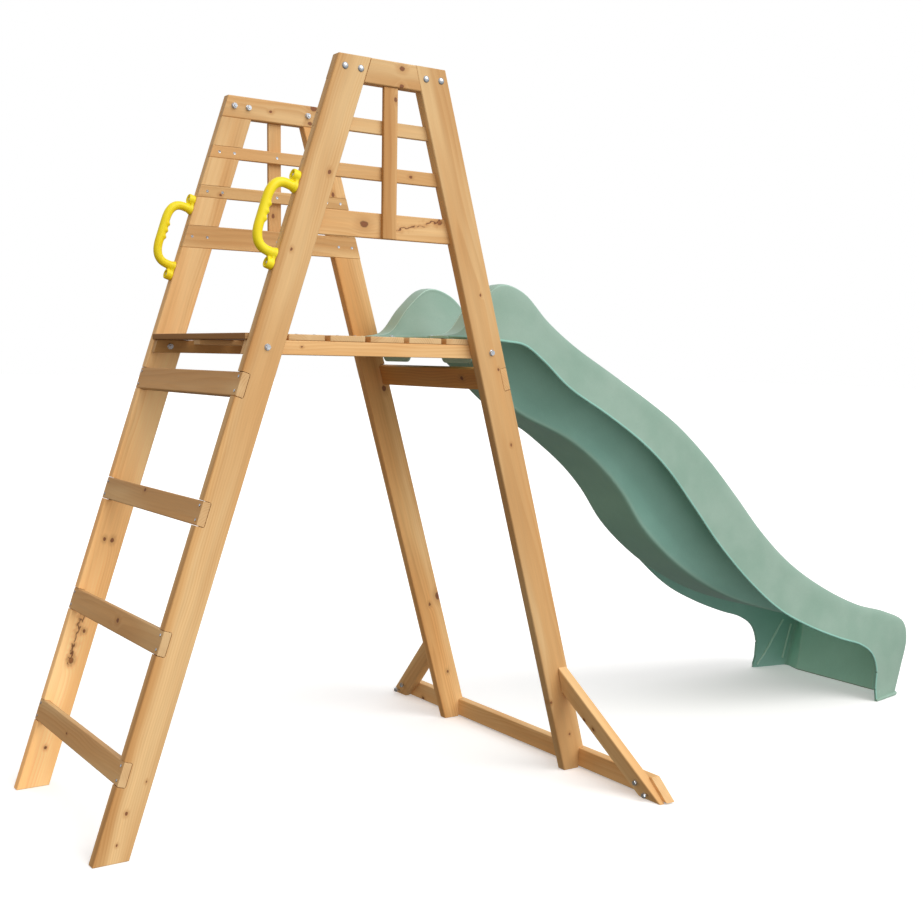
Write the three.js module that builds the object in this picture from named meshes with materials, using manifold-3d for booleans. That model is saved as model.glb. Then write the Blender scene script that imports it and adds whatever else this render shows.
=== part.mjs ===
// A timber A-frame climbing tower: a ladder up one side, a small slatted deck, a guard frame on
// either hand and a wavy moulded slide down the far side. Nothing on it moves.
// Millimetres. +X runs from the ladder to the slide's exit, +Y is the climber's left, +Z is up.
// It is built with x = 0 at the ladder's foot, and centred over its footprint at the very end.
import * as THREE from 'three';
import { mergeVertices } from 'three/addons/utils/BufferGeometryUtils.js';
import Module from 'manifold-3d';

const wasm = await Module();
wasm.setup();

// ---------------------------------------------------------------- driving dimensions
const fit = 0.3; // gap left between two pieces that touch

const towerHeight = 1900;
const towerWidth = 665; // over the outer faces of the two side frames
const ladderTopX = 642; // front corner of a ladder stile at the top; its foot starts at x = 0
const frameTopLength = 303; // front corner to rear corner along a side frame's top
const legFootX = 1492; // rear corner of a rear leg, carried down to the ground

const timber = { width: 85, thickness: 30 };
const crossboard = { height: 60, lap: 15 };
const slat = { thickness: 14, bottoms: [1727.5, 1617.5], height: 33 };
const guardBoard = { bottom: 1478.5, height: 61 };
const centreSlat = { width: 40, thickness: 11, middleX: 790 };

const rung = { height: 61.5, thickness: 22, count: 4, firstBottom: 196.5, pitch: 318.3 };
const crossMember = { height: 61.5, thickness: 22, bottom: 1154 };

const deckTop = 1239;
const deckBoard = { thickness: 15, width: 99.5, pitch: 114.5, count: 6, frontX: 409 };
const deckRail = { height: 35, thickness: 20, frontSetback: 3, rearSetback: 6 };
const deckBatten = { width: 40, thickness: 13.5 };

const baseBeam = { frontX: 1457, thickness: 30, bottom: 4, top: 60, topEndY: 645 };
const brace = { height: 56, thickness: 30, angle: 40.5, topZ: 315, lean: 0.238, frontX: 1427 };

const handle = { middle: 1586, reach: 61, gripRadius: 11, gripSides: 16, rootSpan: 83, shoulderSpan: 40 };
const handleBoss = { span: 109, radius: 13, height: 18, recessRadius: 8, recessDepth: 7 };
const handleFoot = { halfWidth: 11, height: 9 };

const topBolt = { shank: 4, head: 9, headHeight: 4.5, nut: 8, nutHeight: 6 };
const plainBolt = { shank: 4, head: 8.5, headHeight: 5.5, nut: 8, nutHeight: 6 };
const handleScrew = { shank: 3, head: 6.5, headHeight: 4, depth: 34 };
const slideScrew = { shank: 2.5, head: 7, headHeight: 4, depth: 12 };
const roundSides = 12;
const nutSides = 6;

const slide = {
  wall: 6,
  rimHalfWidth: { entry: 214, exit: 266 },
  rimWidth: 30,
  skirtFlare: 23,
  floorHalfWidth: { lip: 168, neck: 64, middle: 105, exit: 180 },
  stepsPerStation: 2,
  screwX: 1062,
  screwY: 110,
};

// Stations down the slide, as [x, z] of the rim's top, the trough's floor and the skirt's hem.
const slideStations = [
  { rim: [1026, 1248], floor: [1026, 1246], hem: [1032, 1246] },
  { rim: [1084, 1262], floor: [1080, 1247], hem: [1088, 1246] },
  { rim: [1146, 1336], floor: [1130, 1246], hem: [1146, 1243] },
  { rim: [1218, 1392], floor: [1180, 1230], hem: [1226, 1238] },
  { rim: [1296, 1376], floor: [1240, 1176], hem: [1288, 1229] },
  { rim: [1388, 1299], floor: [1310, 1103], hem: [1357, 1186] },
  { rim: [1495, 1228], floor: [1400, 1038], hem: [1450, 1113] },
  { rim: [1643, 1147], floor: [1560, 962], hem: [1598, 1033] },
  { rim: [1783, 1070], floor: [1700, 866], hem: [1740, 946] },
  { rim: [1904, 996], floor: [1790, 781], hem: [1840, 866] },
  { rim: [2035, 892], floor: [1880, 669], hem: [1957, 743] },
  { rim: [2165, 768], floor: [2000, 566], hem: [2075, 614] },
  { rim: [2290, 641], floor: [2140, 478], hem: [2210, 490] },
  { rim: [2430, 527], floor: [2310, 400], hem: [2360, 380] },
  { rim: [2600, 430], floor: [2500, 342], hem: [2513, 307] },
  { rim: [2780, 355], floor: [2700, 296], hem: [2660, 253] },
  { rim: [2935, 315], floor: [2860, 268], hem: [2775, 217] },
  { rim: [3043, 268], floor: [2964, 250], hem: [2837, 177] },
  { rim: [3066, 203], floor: [3010, 200], hem: [2866, 122] },
  { rim: [3045, 105], floor: [3008, 105], hem: [2868, 60] },
  { rim: [3017, 0], floor: [2995, 4], hem: [2866, 0] },
];

// ---------------------------------------------------------------- materials
const finish = (color, roughness, metalness = 0) =>
  new THREE.MeshStandardMaterial({ color, roughness, metalness });
const materials = {
  timber: finish(0xd6aa73, 0.75),
  shadeTimber: finish(0xc4935a, 0.75),
  slidePlastic: finish(0x8fb3a0, 0.45),
  gripPlastic: finish(0xf7df28, 0.35),
  zinc: finish(0xb8bcc0, 0.35, 0.9),
};

// ---------------------------------------------------------------- solids and booleans
function toSolid(geometry) {
  const bare = geometry.clone();
  bare.deleteAttribute('normal');
  bare.deleteAttribute('uv');
  const merged = mergeVertices(bare, 1e-3);
  return new wasm.Manifold(new wasm.Mesh({
    numProp: 3,
    vertProperties: new Float32Array(merged.attributes.position.array),
    triVerts: new Uint32Array(merged.index.array),
  }));
}

function toGeometry(solid) {
  const mesh = solid.getMesh();
  const geometry = new THREE.BufferGeometry();
  geometry.setAttribute('position', new THREE.BufferAttribute(mesh.vertProperties, 3));
  geometry.setIndex(new THREE.BufferAttribute(mesh.triVerts, 1));
  geometry.computeVertexNormals();
  return geometry;
}

function cut(geometry, cutters) {
  const solid = cutters.reduce((body, cutter) => body.subtract(toSolid(cutter)), toSolid(geometry));
  return toGeometry(solid);
}

function join(geometries) {
  const [first, ...rest] = geometries.map(toSolid);
  return toGeometry(rest.reduce((body, other) => body.add(other), first));
}

// A flat board standing in the XZ plane: its outline is [x, z] points, its faces at two Y values.
function board(outline, yLow, yHigh) {
  const shape = new THREE.Shape(outline.map(([x, z]) => new THREE.Vector2(x, z)));
  const geometry = new THREE.ExtrudeGeometry(shape, { depth: yHigh - yLow, bevelEnabled: false });
  return geometry.rotateX(Math.PI / 2).translate(0, yHigh, 0);
}

function block(low, high) {
  const size = high.map((value, i) => value - low[i]);
  const middle = high.map((value, i) => (value + low[i]) / 2);
  return new THREE.BoxGeometry(...size).translate(...middle);
}

// A round bar whose axis runs along +Y from y = start.
function roundBar(radius, start, length, sides = roundSides) {
  return new THREE.CylinderGeometry(radius, radius, length, sides).translate(0, start + length / 2, 0);
}

// ---------------------------------------------------------------- the two leaning edges
// A ladder stile and a rear leg each lean along a straight outer edge. A point on a member is
// given by its distance up that edge and its depth in from it.
function leaningEdge(footX, topX, inward) {
  const along = new THREE.Vector2(topX - footX, towerHeight).normalize();
  const across = new THREE.Vector2(along.y, -along.x).multiplyScalar(inward);
  const at = (distance, depth) => [
    footX + along.x * distance + across.x * depth,
    along.y * distance + across.y * depth,
  ];
  const xAt = (z, depth) => {
    const [x, baseZ] = at(0, depth);
    return x + ((z - baseZ) * along.x) / along.y;
  };
  const band = (from, to, nearDepth, farDepth) =>
    [at(from, nearDepth), at(from, farDepth), at(to, farDepth), at(to, nearDepth)];
  return { along, across, at, xAt, band };
}
const stileEdge = leaningEdge(0, ladderTopX, 1);
const legEdge = leaningEdge(legFootX, ladderTopX + frameTopLength, -1);

function leaningTimber(edge) {
  const { width } = timber;
  return [
    [edge.xAt(0, 0), 0], [edge.xAt(0, width), 0],
    [edge.xAt(towerHeight, width), towerHeight], [edge.xAt(towerHeight, 0), towerHeight],
  ];
}

// A level board from the ladder stile's front edge to the rear leg's back edge.
function levelOutline(bottom, top, overrun = 0) {
  return [
    [stileEdge.xAt(bottom, 0) - overrun, bottom], [legEdge.xAt(bottom, 0) + overrun, bottom],
    [legEdge.xAt(top, 0) + overrun, top], [stileEdge.xAt(top, 0) - overrun, top],
  ];
}

// Y values of a layer of a side frame, given its depths in from the frame's outer face.
const rightHand = { name: 'right', sign: -1 };
const leftHand = { name: 'left', sign: 1 };
function layer(hand, fromDepth, toDepth) {
  const ends = [fromDepth, toDepth].map((depth) => hand.sign * (towerWidth / 2 - depth));
  return [Math.min(...ends), Math.max(...ends)];
}

const overcut = 5; // how far a cutter runs past the face that it opens
const slatBoards = [
  ...slat.bottoms.map((bottom) => ({ bottom, top: bottom + slat.height })),
  { bottom: guardBoard.bottom, top: guardBoard.bottom + guardBoard.height },
];
const crossboardBottom = towerHeight - crossboard.height;
const rungBottoms = Array.from({ length: rung.count }, (_, i) => rung.firstBottom + i * rung.pitch);

// ---------------------------------------------------------------- bolt places
const topBoltPlaces = [[659, 1872], [702, 1871], [888, 1871], [932, 1872]];
const deckBoltPlaces = [[453, 1206], [1107, 1205]];
const braceBoltPlaces = [[615, 41], [653, 16]];
const handleBoltPlaces = [-handleBoss.span, handleBoss.span];

function holeThroughFrame([x, z]) {
  return roundBar(plainBolt.shank + fit, -towerWidth, 2 * towerWidth).translate(x, 0, z);
}

function housings(hand) {
  const cutters = slatBoards.map(({ bottom, top }) => board(
    levelOutline(bottom - fit, top + fit, overcut),
    ...layer(hand, timber.thickness - slat.thickness - fit, timber.thickness + overcut),
  ));
  cutters.push(board(
    levelOutline(crossboardBottom - fit, towerHeight + overcut, overcut),
    ...layer(hand, crossboard.lap - fit, timber.thickness + overcut),
  ));
  return cutters;
}

// ---------------------------------------------------------------- handles and their frame
// The handle's own frame: X up the stile's front face, Y across it, Z out of it.
const stileLean = Math.atan2(stileEdge.along.x, stileEdge.along.y);
function ontoStileFront(geometry, hand, lift = fit) {
  const [x, z] = stileEdge.at(handle.middle, -lift);
  const y = hand.sign * (towerWidth / 2 - timber.thickness / 2);
  return geometry.rotateY(-(Math.PI / 2 - stileLean)).translate(x, y, z);
}

function gripPath() {
  const { rootSpan, shoulderSpan, reach } = handle;
  const bendStart = reach * 0.35;
  const at = (x, z) => new THREE.Vector3(x, 0, z);
  const path = new THREE.CurvePath();
  const line = (from, to) => path.add(new THREE.LineCurve3(from, to));
  const bend = (from, corner, to) => path.add(new THREE.QuadraticBezierCurve3(from, corner, to));
  line(at(-rootSpan, 2), at(-rootSpan, bendStart));
  bend(at(-rootSpan, bendStart), at(-rootSpan, reach), at(-shoulderSpan, reach));
  line(at(-shoulderSpan, reach), at(shoulderSpan, reach));
  bend(at(shoulderSpan, reach), at(rootSpan, reach), at(rootSpan, bendStart));
  line(at(rootSpan, bendStart), at(rootSpan, 2));
  return path;
}

function upright(geometry) {
  return geometry.rotateX(Math.PI / 2); // +Y becomes +Z
}

// One end of a handle: a flat foot under the grip's root, running out to the screw's boss.
function handleEnd(end) {
  const bossX = end * handleBoss.span;
  const footEnds = [end * (handle.rootSpan - handle.gripRadius), bossX + end * 4];
  const { halfWidth, height } = handleFoot;
  const boss = upright(roundBar(handleBoss.radius, 0, handleBoss.height)).translate(bossX, 0, 0);
  const foot = block([Math.min(...footEnds), -halfWidth, 0], [Math.max(...footEnds), halfWidth, height]);
  return [boss, foot];
}

function handleEndHoles(end) {
  const recessBase = handleBoss.height - handleBoss.recessDepth;
  const bore = upright(roundBar(handleScrew.shank + fit, -overcut, handleBoss.height));
  const recess = upright(roundBar(handleBoss.recessRadius, recessBase, handleBoss.height));
  return [bore, recess].map((hole) => hole.translate(end * handleBoss.span, 0, 0));
}

function handleGeometry(hand) {
  const section = new THREE.Shape();
  section.absarc(0, 0, handle.gripRadius, 0, 2 * Math.PI);
  const grip = new THREE.ExtrudeGeometry(section, {
    steps: 40, curveSegments: handle.gripSides / 2, extrudePath: gripPath(), bevelEnabled: false,
  });
  const body = join([grip, ...handleEnd(-1), ...handleEnd(1)]);
  return ontoStileFront(cut(body, [...handleEndHoles(-1), ...handleEndHoles(1)]), hand);
}

function handleScrewHoles(hand) {
  const { shank, depth } = handleScrew;
  return handleBoltPlaces.map((x) => {
    const hole = upright(roundBar(shank + fit, -depth - 1, depth + overcut));
    return ontoStileFront(hole.translate(x, 0, 0), hand);
  });
}

// ---------------------------------------------------------------- side frames
function ladderStile(hand) {
  const body = board(leaningTimber(stileEdge), ...layer(hand, 0, timber.thickness));
  const rungNotches = rungBottoms.map((bottom) => board(
    stileEdge.band(bottom - fit, bottom + rung.height + fit, -overcut, rung.thickness + fit),
    -towerWidth, towerWidth,
  ));
  const holes = [...topBoltPlaces.slice(0, 2), deckBoltPlaces[0]].map(holeThroughFrame);
  return cut(body, [...rungNotches, ...housings(hand), ...holes, ...handleScrewHoles(hand)]);
}

function rearLeg(hand) {
  const body = board(leaningTimber(legEdge), ...layer(hand, 0, timber.thickness));
  const memberNotch = board(
    legEdge.band(crossMember.bottom - fit, crossMember.bottom + crossMember.height + fit,
      -overcut, crossMember.thickness + fit),
    -towerWidth, towerWidth,
  );
  const beamNotch = block(
    [baseBeam.frontX - fit, -towerWidth, -overcut],
    [legFootX + overcut, towerWidth, baseBeam.top + fit],
  );
  const holes = [...topBoltPlaces.slice(2), deckBoltPlaces[1]].map(holeThroughFrame);
  return cut(body, [memberNotch, beamNotch, ...housings(hand), ...holes]);
}

function topCrossboard(hand) {
  const lapOutline = levelOutline(crossboardBottom, towerHeight);
  const lap = board(lapOutline, ...layer(hand, crossboard.lap, timber.thickness));
  const between = [
    [stileEdge.xAt(crossboardBottom, timber.width) + fit, crossboardBottom],
    [legEdge.xAt(crossboardBottom, timber.width) - fit, crossboardBottom],
    [legEdge.xAt(towerHeight, timber.width) - fit, towerHeight],
    [stileEdge.xAt(towerHeight, timber.width) + fit, towerHeight],
  ];
  const body = join([lap, board(between, ...layer(hand, 0, timber.thickness))]);
  return cut(body, topBoltPlaces.map(holeThroughFrame));
}

function housedBoard(hand, { bottom, top }) {
  const backDepth = timber.thickness - slat.thickness;
  return board(levelOutline(bottom, top), ...layer(hand, backDepth, timber.thickness));
}

function centreSlatGeometry(hand) {
  const backDepth = timber.thickness - slat.thickness - fit;
  const [yLow, yHigh] = layer(hand, backDepth - centreSlat.thickness, backDepth);
  const halfWidth = centreSlat.width / 2;
  return block(
    [centreSlat.middleX - halfWidth, yLow, guardBoard.bottom],
    [centreSlat.middleX + halfWidth, yHigh, crossboardBottom - fit],
  );
}

// ---------------------------------------------------------------- rungs, deck and base
const fullWidth = [-towerWidth / 2, towerWidth / 2];
const insideHalfWidth = towerWidth / 2 - timber.thickness - fit;

function rungGeometry(bottom) {
  return board(stileEdge.band(bottom, bottom + rung.height, 0, rung.thickness), ...fullWidth);
}

function crossMemberGeometry() {
  const { bottom, height, thickness } = crossMember;
  return board(legEdge.band(bottom, bottom + height, 0, thickness), ...fullWidth);
}

const railTop = deckTop - deckBoard.thickness - fit;
function deckRailGeometry(hand) {
  const bottom = railTop - deckRail.height;
  const { frontSetback, rearSetback } = deckRail;
  const outline = [
    [stileEdge.xAt(bottom, frontSetback), bottom], [legEdge.xAt(bottom, rearSetback), bottom],
    [legEdge.xAt(railTop, rearSetback), railTop], [stileEdge.xAt(railTop, frontSetback), railTop],
  ];
  const outer = timber.thickness + fit;
  const body = board(outline, ...layer(hand, outer, outer + deckRail.thickness));
  return cut(body, deckBoltPlaces.map(holeThroughFrame));
}

function deckBoardGeometry(index) {
  const front = deckBoard.frontX + index * deckBoard.pitch;
  const body = block(
    [front, -insideHalfWidth, deckTop - deckBoard.thickness],
    [front + deckBoard.width, insideHalfWidth, deckTop],
  );
  return index < deckBoard.count - 1 ? body : cut(body, slideScrewHoles());
}

function deckBattenGeometry() {
  const rearX = deckBoard.frontX + (deckBoard.count - 1) * deckBoard.pitch + deckBoard.width;
  return block(
    [deckBoard.frontX + 4, -deckBatten.width / 2, railTop - deckBatten.thickness],
    [rearX - 4, deckBatten.width / 2, railTop],
  );
}

function alongX(geometry) {
  return geometry.rotateZ(-Math.PI / 2); // +Y becomes +X
}

function braceBoltHoles(hand) {
  return braceBoltPlaces.map(([y, z]) => {
    const hole = alongX(roundBar(plainBolt.shank + fit, 0, 4 * brace.thickness));
    return hole.translate(brace.frontX - brace.thickness, hand.sign * y, z);
  });
}

function baseBeamGeometry() {
  const { bottom, top, topEndY, frontX, thickness } = baseBeam;
  const endRun = (top - bottom) / Math.tan(THREE.MathUtils.degToRad(brace.angle));
  const shape = new THREE.Shape([
    new THREE.Vector2(-topEndY - endRun, bottom), new THREE.Vector2(topEndY + endRun, bottom),
    new THREE.Vector2(topEndY, top), new THREE.Vector2(-topEndY, top),
  ]);
  const body = new THREE.ExtrudeGeometry(shape, { depth: thickness, bevelEnabled: false });
  body.applyMatrix4(new THREE.Matrix4().set(
    0, 0, 1, frontX,
    1, 0, 0, 0,
    0, 1, 0, 0,
    0, 0, 0, 1,
  ));
  return cut(body, [...braceBoltHoles(rightHand), ...braceBoltHoles(leftHand)]);
}

// A brace leans back to meet the leg's side, and a flat seat is cut where it lies on the beam.
function braceGeometry(hand) {
  const { height, thickness, topZ, lean, frontX } = brace;
  const angle = THREE.MathUtils.degToRad(brace.angle);
  const innerY = towerWidth / 2 + fit;
  const lowTopZ = topZ - height / Math.cos(angle);
  const outline = [
    [innerY, topZ], [innerY, lowTopZ],
    [innerY + lowTopZ / Math.tan(angle), 0], [innerY + topZ / Math.tan(angle), 0],
  ];
  const shape = new THREE.Shape(outline.map(([y, z]) => new THREE.Vector2(hand.sign * y, z)));
  const body = new THREE.ExtrudeGeometry(shape, { depth: thickness, bevelEnabled: false });
  const shiftX = frontX + lean * baseBeam.top;
  body.applyMatrix4(new THREE.Matrix4().set(
    0, -lean, 1, shiftX,
    1, 0, 0, 0,
    0, 1, 0, 0,
    0, 0, 0, 1,
  ));
  const seat = block(
    [baseBeam.frontX - fit, -2 * towerWidth, -overcut],
    [baseBeam.frontX + 2 * brace.thickness, 2 * towerWidth, baseBeam.top + overcut],
  );
  return cut(body, [seat, ...braceBoltHoles(hand)]);
}

// ---------------------------------------------------------------- fasteners
// Bolts lie along +Y with the head's underside at y = 0 and the head below it.
function turned(profile) {
  return new THREE.LatheGeometry(profile.map(([r, y]) => new THREE.Vector2(r, y)), roundSides);
}

function domeBolt({ shank, head, headHeight, nut, nutHeight }, grip) {
  const end = grip + nutHeight + 4;
  const body = turned([
    [0, -headHeight], [head * 0.55, -headHeight * 0.82], [head * 0.88, -headHeight * 0.42], [head, -fit],
    [shank, -fit], [shank, end], [0, end],
  ]);
  return join([body, roundBar(nut, grip + fit, nutHeight, nutSides)]);
}

function hexBolt({ shank, head, headHeight, nut, nutHeight }, grip) {
  return join([
    roundBar(head, -headHeight, headHeight - fit, nutSides),
    roundBar(shank, -headHeight / 2, grip + nutHeight + 4 + headHeight / 2),
    roundBar(nut, grip + fit, nutHeight, nutSides),
  ]);
}

function woodScrew({ shank, head, headHeight, depth }) {
  return turned([
    [0, -headHeight], [head * 0.6, -headHeight * 0.8], [head, -fit],
    [shank, -fit], [shank, depth - 2 * shank], [0, depth],
  ]);
}

// A bolt put through a side frame from its outer face towards the middle.
function frameBolt(geometry, hand, [x, z]) {
  if (hand.sign > 0) {
    geometry.rotateZ(Math.PI);
  }
  return geometry.translate(x, (hand.sign * towerWidth) / 2, z);
}

function braceBolt(hand, [y, z]) {
  const headX = brace.frontX - 2;
  const grip = baseBeam.frontX + baseBeam.thickness - headX;
  return alongX(hexBolt(plainBolt, grip)).translate(headX, hand.sign * y, z);
}

function handleScrewGeometry(hand, x) {
  const seatZ = handleBoss.height - handleBoss.recessDepth;
  const screw = woodScrew({ ...handleScrew, depth: handleScrew.depth + seatZ - 2 });
  return ontoStileFront(screw.rotateX(-Math.PI / 2).translate(x, 0, seatZ + fit), hand);
}

function slideScrewHoles() {
  return [-1, 1].map((side) => upright(roundBar(slideScrew.shank + fit, -100, 200))
    .translate(slide.screwX, side * slide.screwY, deckTop));
}

function slideScrewGeometry(side) {
  const seat = slideStations[0].floor[1] + 2;
  return woodScrew(slideScrew).rotateX(-Math.PI / 2).translate(slide.screwX, side * slide.screwY, seat);
}

// ---------------------------------------------------------------- slide
const { lerp, smoothstep } = THREE.MathUtils;

function lengthwiseCurve(key) {
  return new THREE.CatmullRomCurve3(slideStations.map((s) => new THREE.Vector3(s[key][0], 0, s[key][1])));
}

// Half of a cross-section, from the middle of the floor up the wall, over the rim, down the skirt.
// Each point says which lengthwise curves it lies between, how far, and its half-width.
function halfSection(x) {
  const { rimHalfWidth, rimWidth, skirtFlare, floorHalfWidth } = slide;
  const outer = lerp(rimHalfWidth.entry, rimHalfWidth.exit, smoothstep(x, 1200, 2950));
  const inner = outer - rimWidth;
  const floorAtTop = lerp(floorHalfWidth.lip, floorHalfWidth.neck, smoothstep(x, 1080, 1300));
  const floorMidway = lerp(floorAtTop, floorHalfWidth.middle, smoothstep(x, 1380, 1640));
  const floorHalf = lerp(floorMidway, floorHalfWidth.exit, smoothstep(x, 2200, 2980));
  const trough = (share, y) => ({ from: 'floor', to: 'rim', share, y });
  const wall = (rise, spread) => trough(rise, lerp(floorHalf, inner, spread));
  const skirt = (drop) => ({ from: 'rim', to: 'hem', share: drop, y: outer + skirtFlare * drop });
  return [
    trough(0, 0), trough(0, floorHalf * 0.5), trough(0.015, floorHalf * 0.85),
    wall(0.07, 0.04), wall(0.2, 0.2), wall(0.5, 0.55), wall(0.82, 0.88), wall(0.95, 1),
    trough(1, inner + rimWidth * 0.3), trough(1, outer - rimWidth * 0.25),
    skirt(0.07), skirt(0.5), skirt(1),
  ];
}

function slideSurface() {
  const curves = ['rim', 'floor', 'hem'].map((key) => [key, lengthwiseCurve(key)]);
  const steps = (slideStations.length - 1) * slide.stepsPerStation;
  const rows = [];
  for (let i = 0; i <= steps; i += 1) {
    const here = Object.fromEntries(curves.map(([key, curve]) => [key, curve.getPoint(i / steps)]));
    const half = halfSection(here.floor.x).map(({ from, to, share, y }) =>
      here[from].clone().lerp(here[to], share).setY(y));
    const mirror = half.slice(1).reverse().map((point) => point.clone().setY(-point.y));
    rows.push([...mirror, ...half]);
  }
  return rows;
}

// Gives a grid of points a wall thickness on its underside and closes it all round. Where the
// grid meets the ground its underside stays level with it.
function thickened(rows, wall) {
  const points = rows.flat();
  const width = rows[0].length;
  const faces = [];
  for (let i = 0; i < rows.length - 1; i += 1) {
    for (let j = 0; j < width - 1; j += 1) {
      const a = i * width + j;
      faces.push([a, a + width, a + width + 1], [a, a + width + 1, a + 1]);
    }
  }
  const top = new THREE.BufferGeometry().setFromPoints(points);
  top.setIndex(faces.flat());
  top.computeVertexNormals();
  const under = points.map((point, k) => {
    const inward = new THREE.Vector3().fromBufferAttribute(top.attributes.normal, k).multiplyScalar(-wall);
    const moved = point.clone().add(inward);
    return point.z < wall ? moved.setZ(point.z) : moved;
  });
  const below = points.length;
  const shellFaces = [...faces, ...faces.map(([a, b, c]) => [a + below, c + below, b + below])];
  const closeEdge = (a, b) => shellFaces.push([a, b + below, b], [a, a + below, b + below]);
  for (let i = 0; i < rows.length - 1; i += 1) {
    closeEdge(i * width, (i + 1) * width);
    closeEdge((i + 2) * width - 1, (i + 1) * width - 1);
  }
  const lastRow = (rows.length - 1) * width;
  for (let j = 0; j < width - 1; j += 1) {
    closeEdge(j + 1, j);
    closeEdge(lastRow + j, lastRow + j + 1);
  }
  return new THREE.BufferGeometry().setFromPoints([...points, ...under]).setIndex(shellFaces.flat());
}

function slideGeometry() {
  return cut(thickened(slideSurface(), slide.wall), slideScrewHoles());
}

// ---------------------------------------------------------------- assembly
const tower = new THREE.Group();

function add(name, geometry, material) {
  const mesh = new THREE.Mesh(geometry, material);
  mesh.name = name;
  tower.add(mesh);
}

for (const hand of [rightHand, leftHand]) {
  add(`${hand.name}_ladder_stile`, ladderStile(hand), materials.timber);
  add(`${hand.name}_rear_leg`, rearLeg(hand), materials.timber);
  add(`${hand.name}_top_crossboard`, topCrossboard(hand), materials.timber);
  slatBoards.forEach((place, i) => {
    const name = i < slat.bottoms.length ? `guard_slat_${i + 1}` : 'guard_board';
    add(`${hand.name}_${name}`, housedBoard(hand, place), materials.timber);
  });
  add(`${hand.name}_centre_slat`, centreSlatGeometry(hand), materials.timber);
  add(`${hand.name}_deck_rail`, deckRailGeometry(hand), materials.timber);
  add(`${hand.name}_brace`, braceGeometry(hand), materials.shadeTimber);
  add(`${hand.name}_handle`, handleGeometry(hand), materials.gripPlastic);
  topBoltPlaces.forEach((place, i) => {
    const bolt = domeBolt(topBolt, timber.thickness);
    add(`${hand.name}_top_bolt_${i + 1}`, frameBolt(bolt, hand, place), materials.zinc);
  });
  deckBoltPlaces.forEach((place, i) => {
    const bolt = hexBolt(plainBolt, timber.thickness + fit + deckRail.thickness);
    add(`${hand.name}_deck_bolt_${i + 1}`, frameBolt(bolt, hand, place), materials.zinc);
  });
  braceBoltPlaces.forEach((place, i) => {
    add(`${hand.name}_brace_bolt_${i + 1}`, braceBolt(hand, place), materials.zinc);
  });
  handleBoltPlaces.forEach((place, i) => {
    add(`${hand.name}_handle_screw_${i + 1}`, handleScrewGeometry(hand, place), materials.zinc);
  });
  add(`${hand.name}_slide_screw`, slideScrewGeometry(hand.sign), materials.zinc);
}

rungBottoms.forEach((bottom, i) => add(`rung_${i + 1}`, rungGeometry(bottom), materials.timber));
for (let i = 0; i < deckBoard.count; i += 1) {
  add(`deck_board_${i + 1}`, deckBoardGeometry(i), materials.timber);
}
add('deck_batten', deckBattenGeometry(), materials.timber);
add('rear_cross_member', crossMemberGeometry(), materials.timber);
add('base_beam', baseBeamGeometry(), materials.shadeTimber);
add('slide', slideGeometry(), materials.slidePlastic);

// The origin is on the ground under the middle of the whole object.
const extent = new THREE.Box3().setFromObject(tower);
tower.position.x = -(extent.min.x + extent.max.x) / 2;

export default tower;
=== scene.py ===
import math
import random

import bmesh
import bpy
from mathutils import Matrix, Vector


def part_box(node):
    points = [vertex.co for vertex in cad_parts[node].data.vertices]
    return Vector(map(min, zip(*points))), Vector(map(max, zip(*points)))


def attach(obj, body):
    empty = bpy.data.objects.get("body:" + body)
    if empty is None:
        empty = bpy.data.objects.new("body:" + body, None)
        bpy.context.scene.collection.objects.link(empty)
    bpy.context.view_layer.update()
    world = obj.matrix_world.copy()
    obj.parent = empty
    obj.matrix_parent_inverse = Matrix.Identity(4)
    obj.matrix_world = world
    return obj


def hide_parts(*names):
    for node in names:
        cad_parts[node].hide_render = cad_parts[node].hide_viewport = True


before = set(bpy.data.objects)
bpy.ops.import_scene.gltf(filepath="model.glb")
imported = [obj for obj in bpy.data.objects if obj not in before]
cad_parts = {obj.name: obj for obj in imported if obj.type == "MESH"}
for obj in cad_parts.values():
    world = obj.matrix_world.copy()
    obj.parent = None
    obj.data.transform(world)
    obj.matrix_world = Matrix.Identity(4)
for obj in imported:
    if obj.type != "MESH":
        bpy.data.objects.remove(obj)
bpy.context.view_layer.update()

# ---------------------------------------------------------------- driving values
MM = 0.001
FOOT_X = 1533.0  # millimetres from the ladder's foot to the model's origin, along X
WHITE = (1.0, 1.0, 1.0, 1.0)

ARRIS = {"timber": 3.6, "rung": 3.2, "thin": 2.2}  # rounding along a board, in mm
END_ARRIS = 1.6
NOTCH_FILLET = 5.0
JOINT_GAP = 0.7
BORE_FACET = 2.4 * MM  # no other face of a board has two edges this short
BORE_LENGTH = 0.036  # metres, longer than any bore
ALIGNED = 0.985  # cosine of the angle within which an edge counts as along an axis
SHARP_FOLD = math.radians(25)

STILE_ALONG = Vector((0.3201, 0.0, 0.9474))
STILE_OUT = Vector((-0.9474, 0.0, 0.3201))
FRAME_MIDDLE = 317.5  # from the middle of the tower, in mm
FRAME_INSIDE = 302.5

CAMERA = {
    "place": (-2.4215, -3.1277, 1.1868),
    "yaw": -34.3645,
    "pitch": -9.088,
    "roll": 1.1527,
    "lens": 49.6853,
    "shift_y": 0.11,
}

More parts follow.
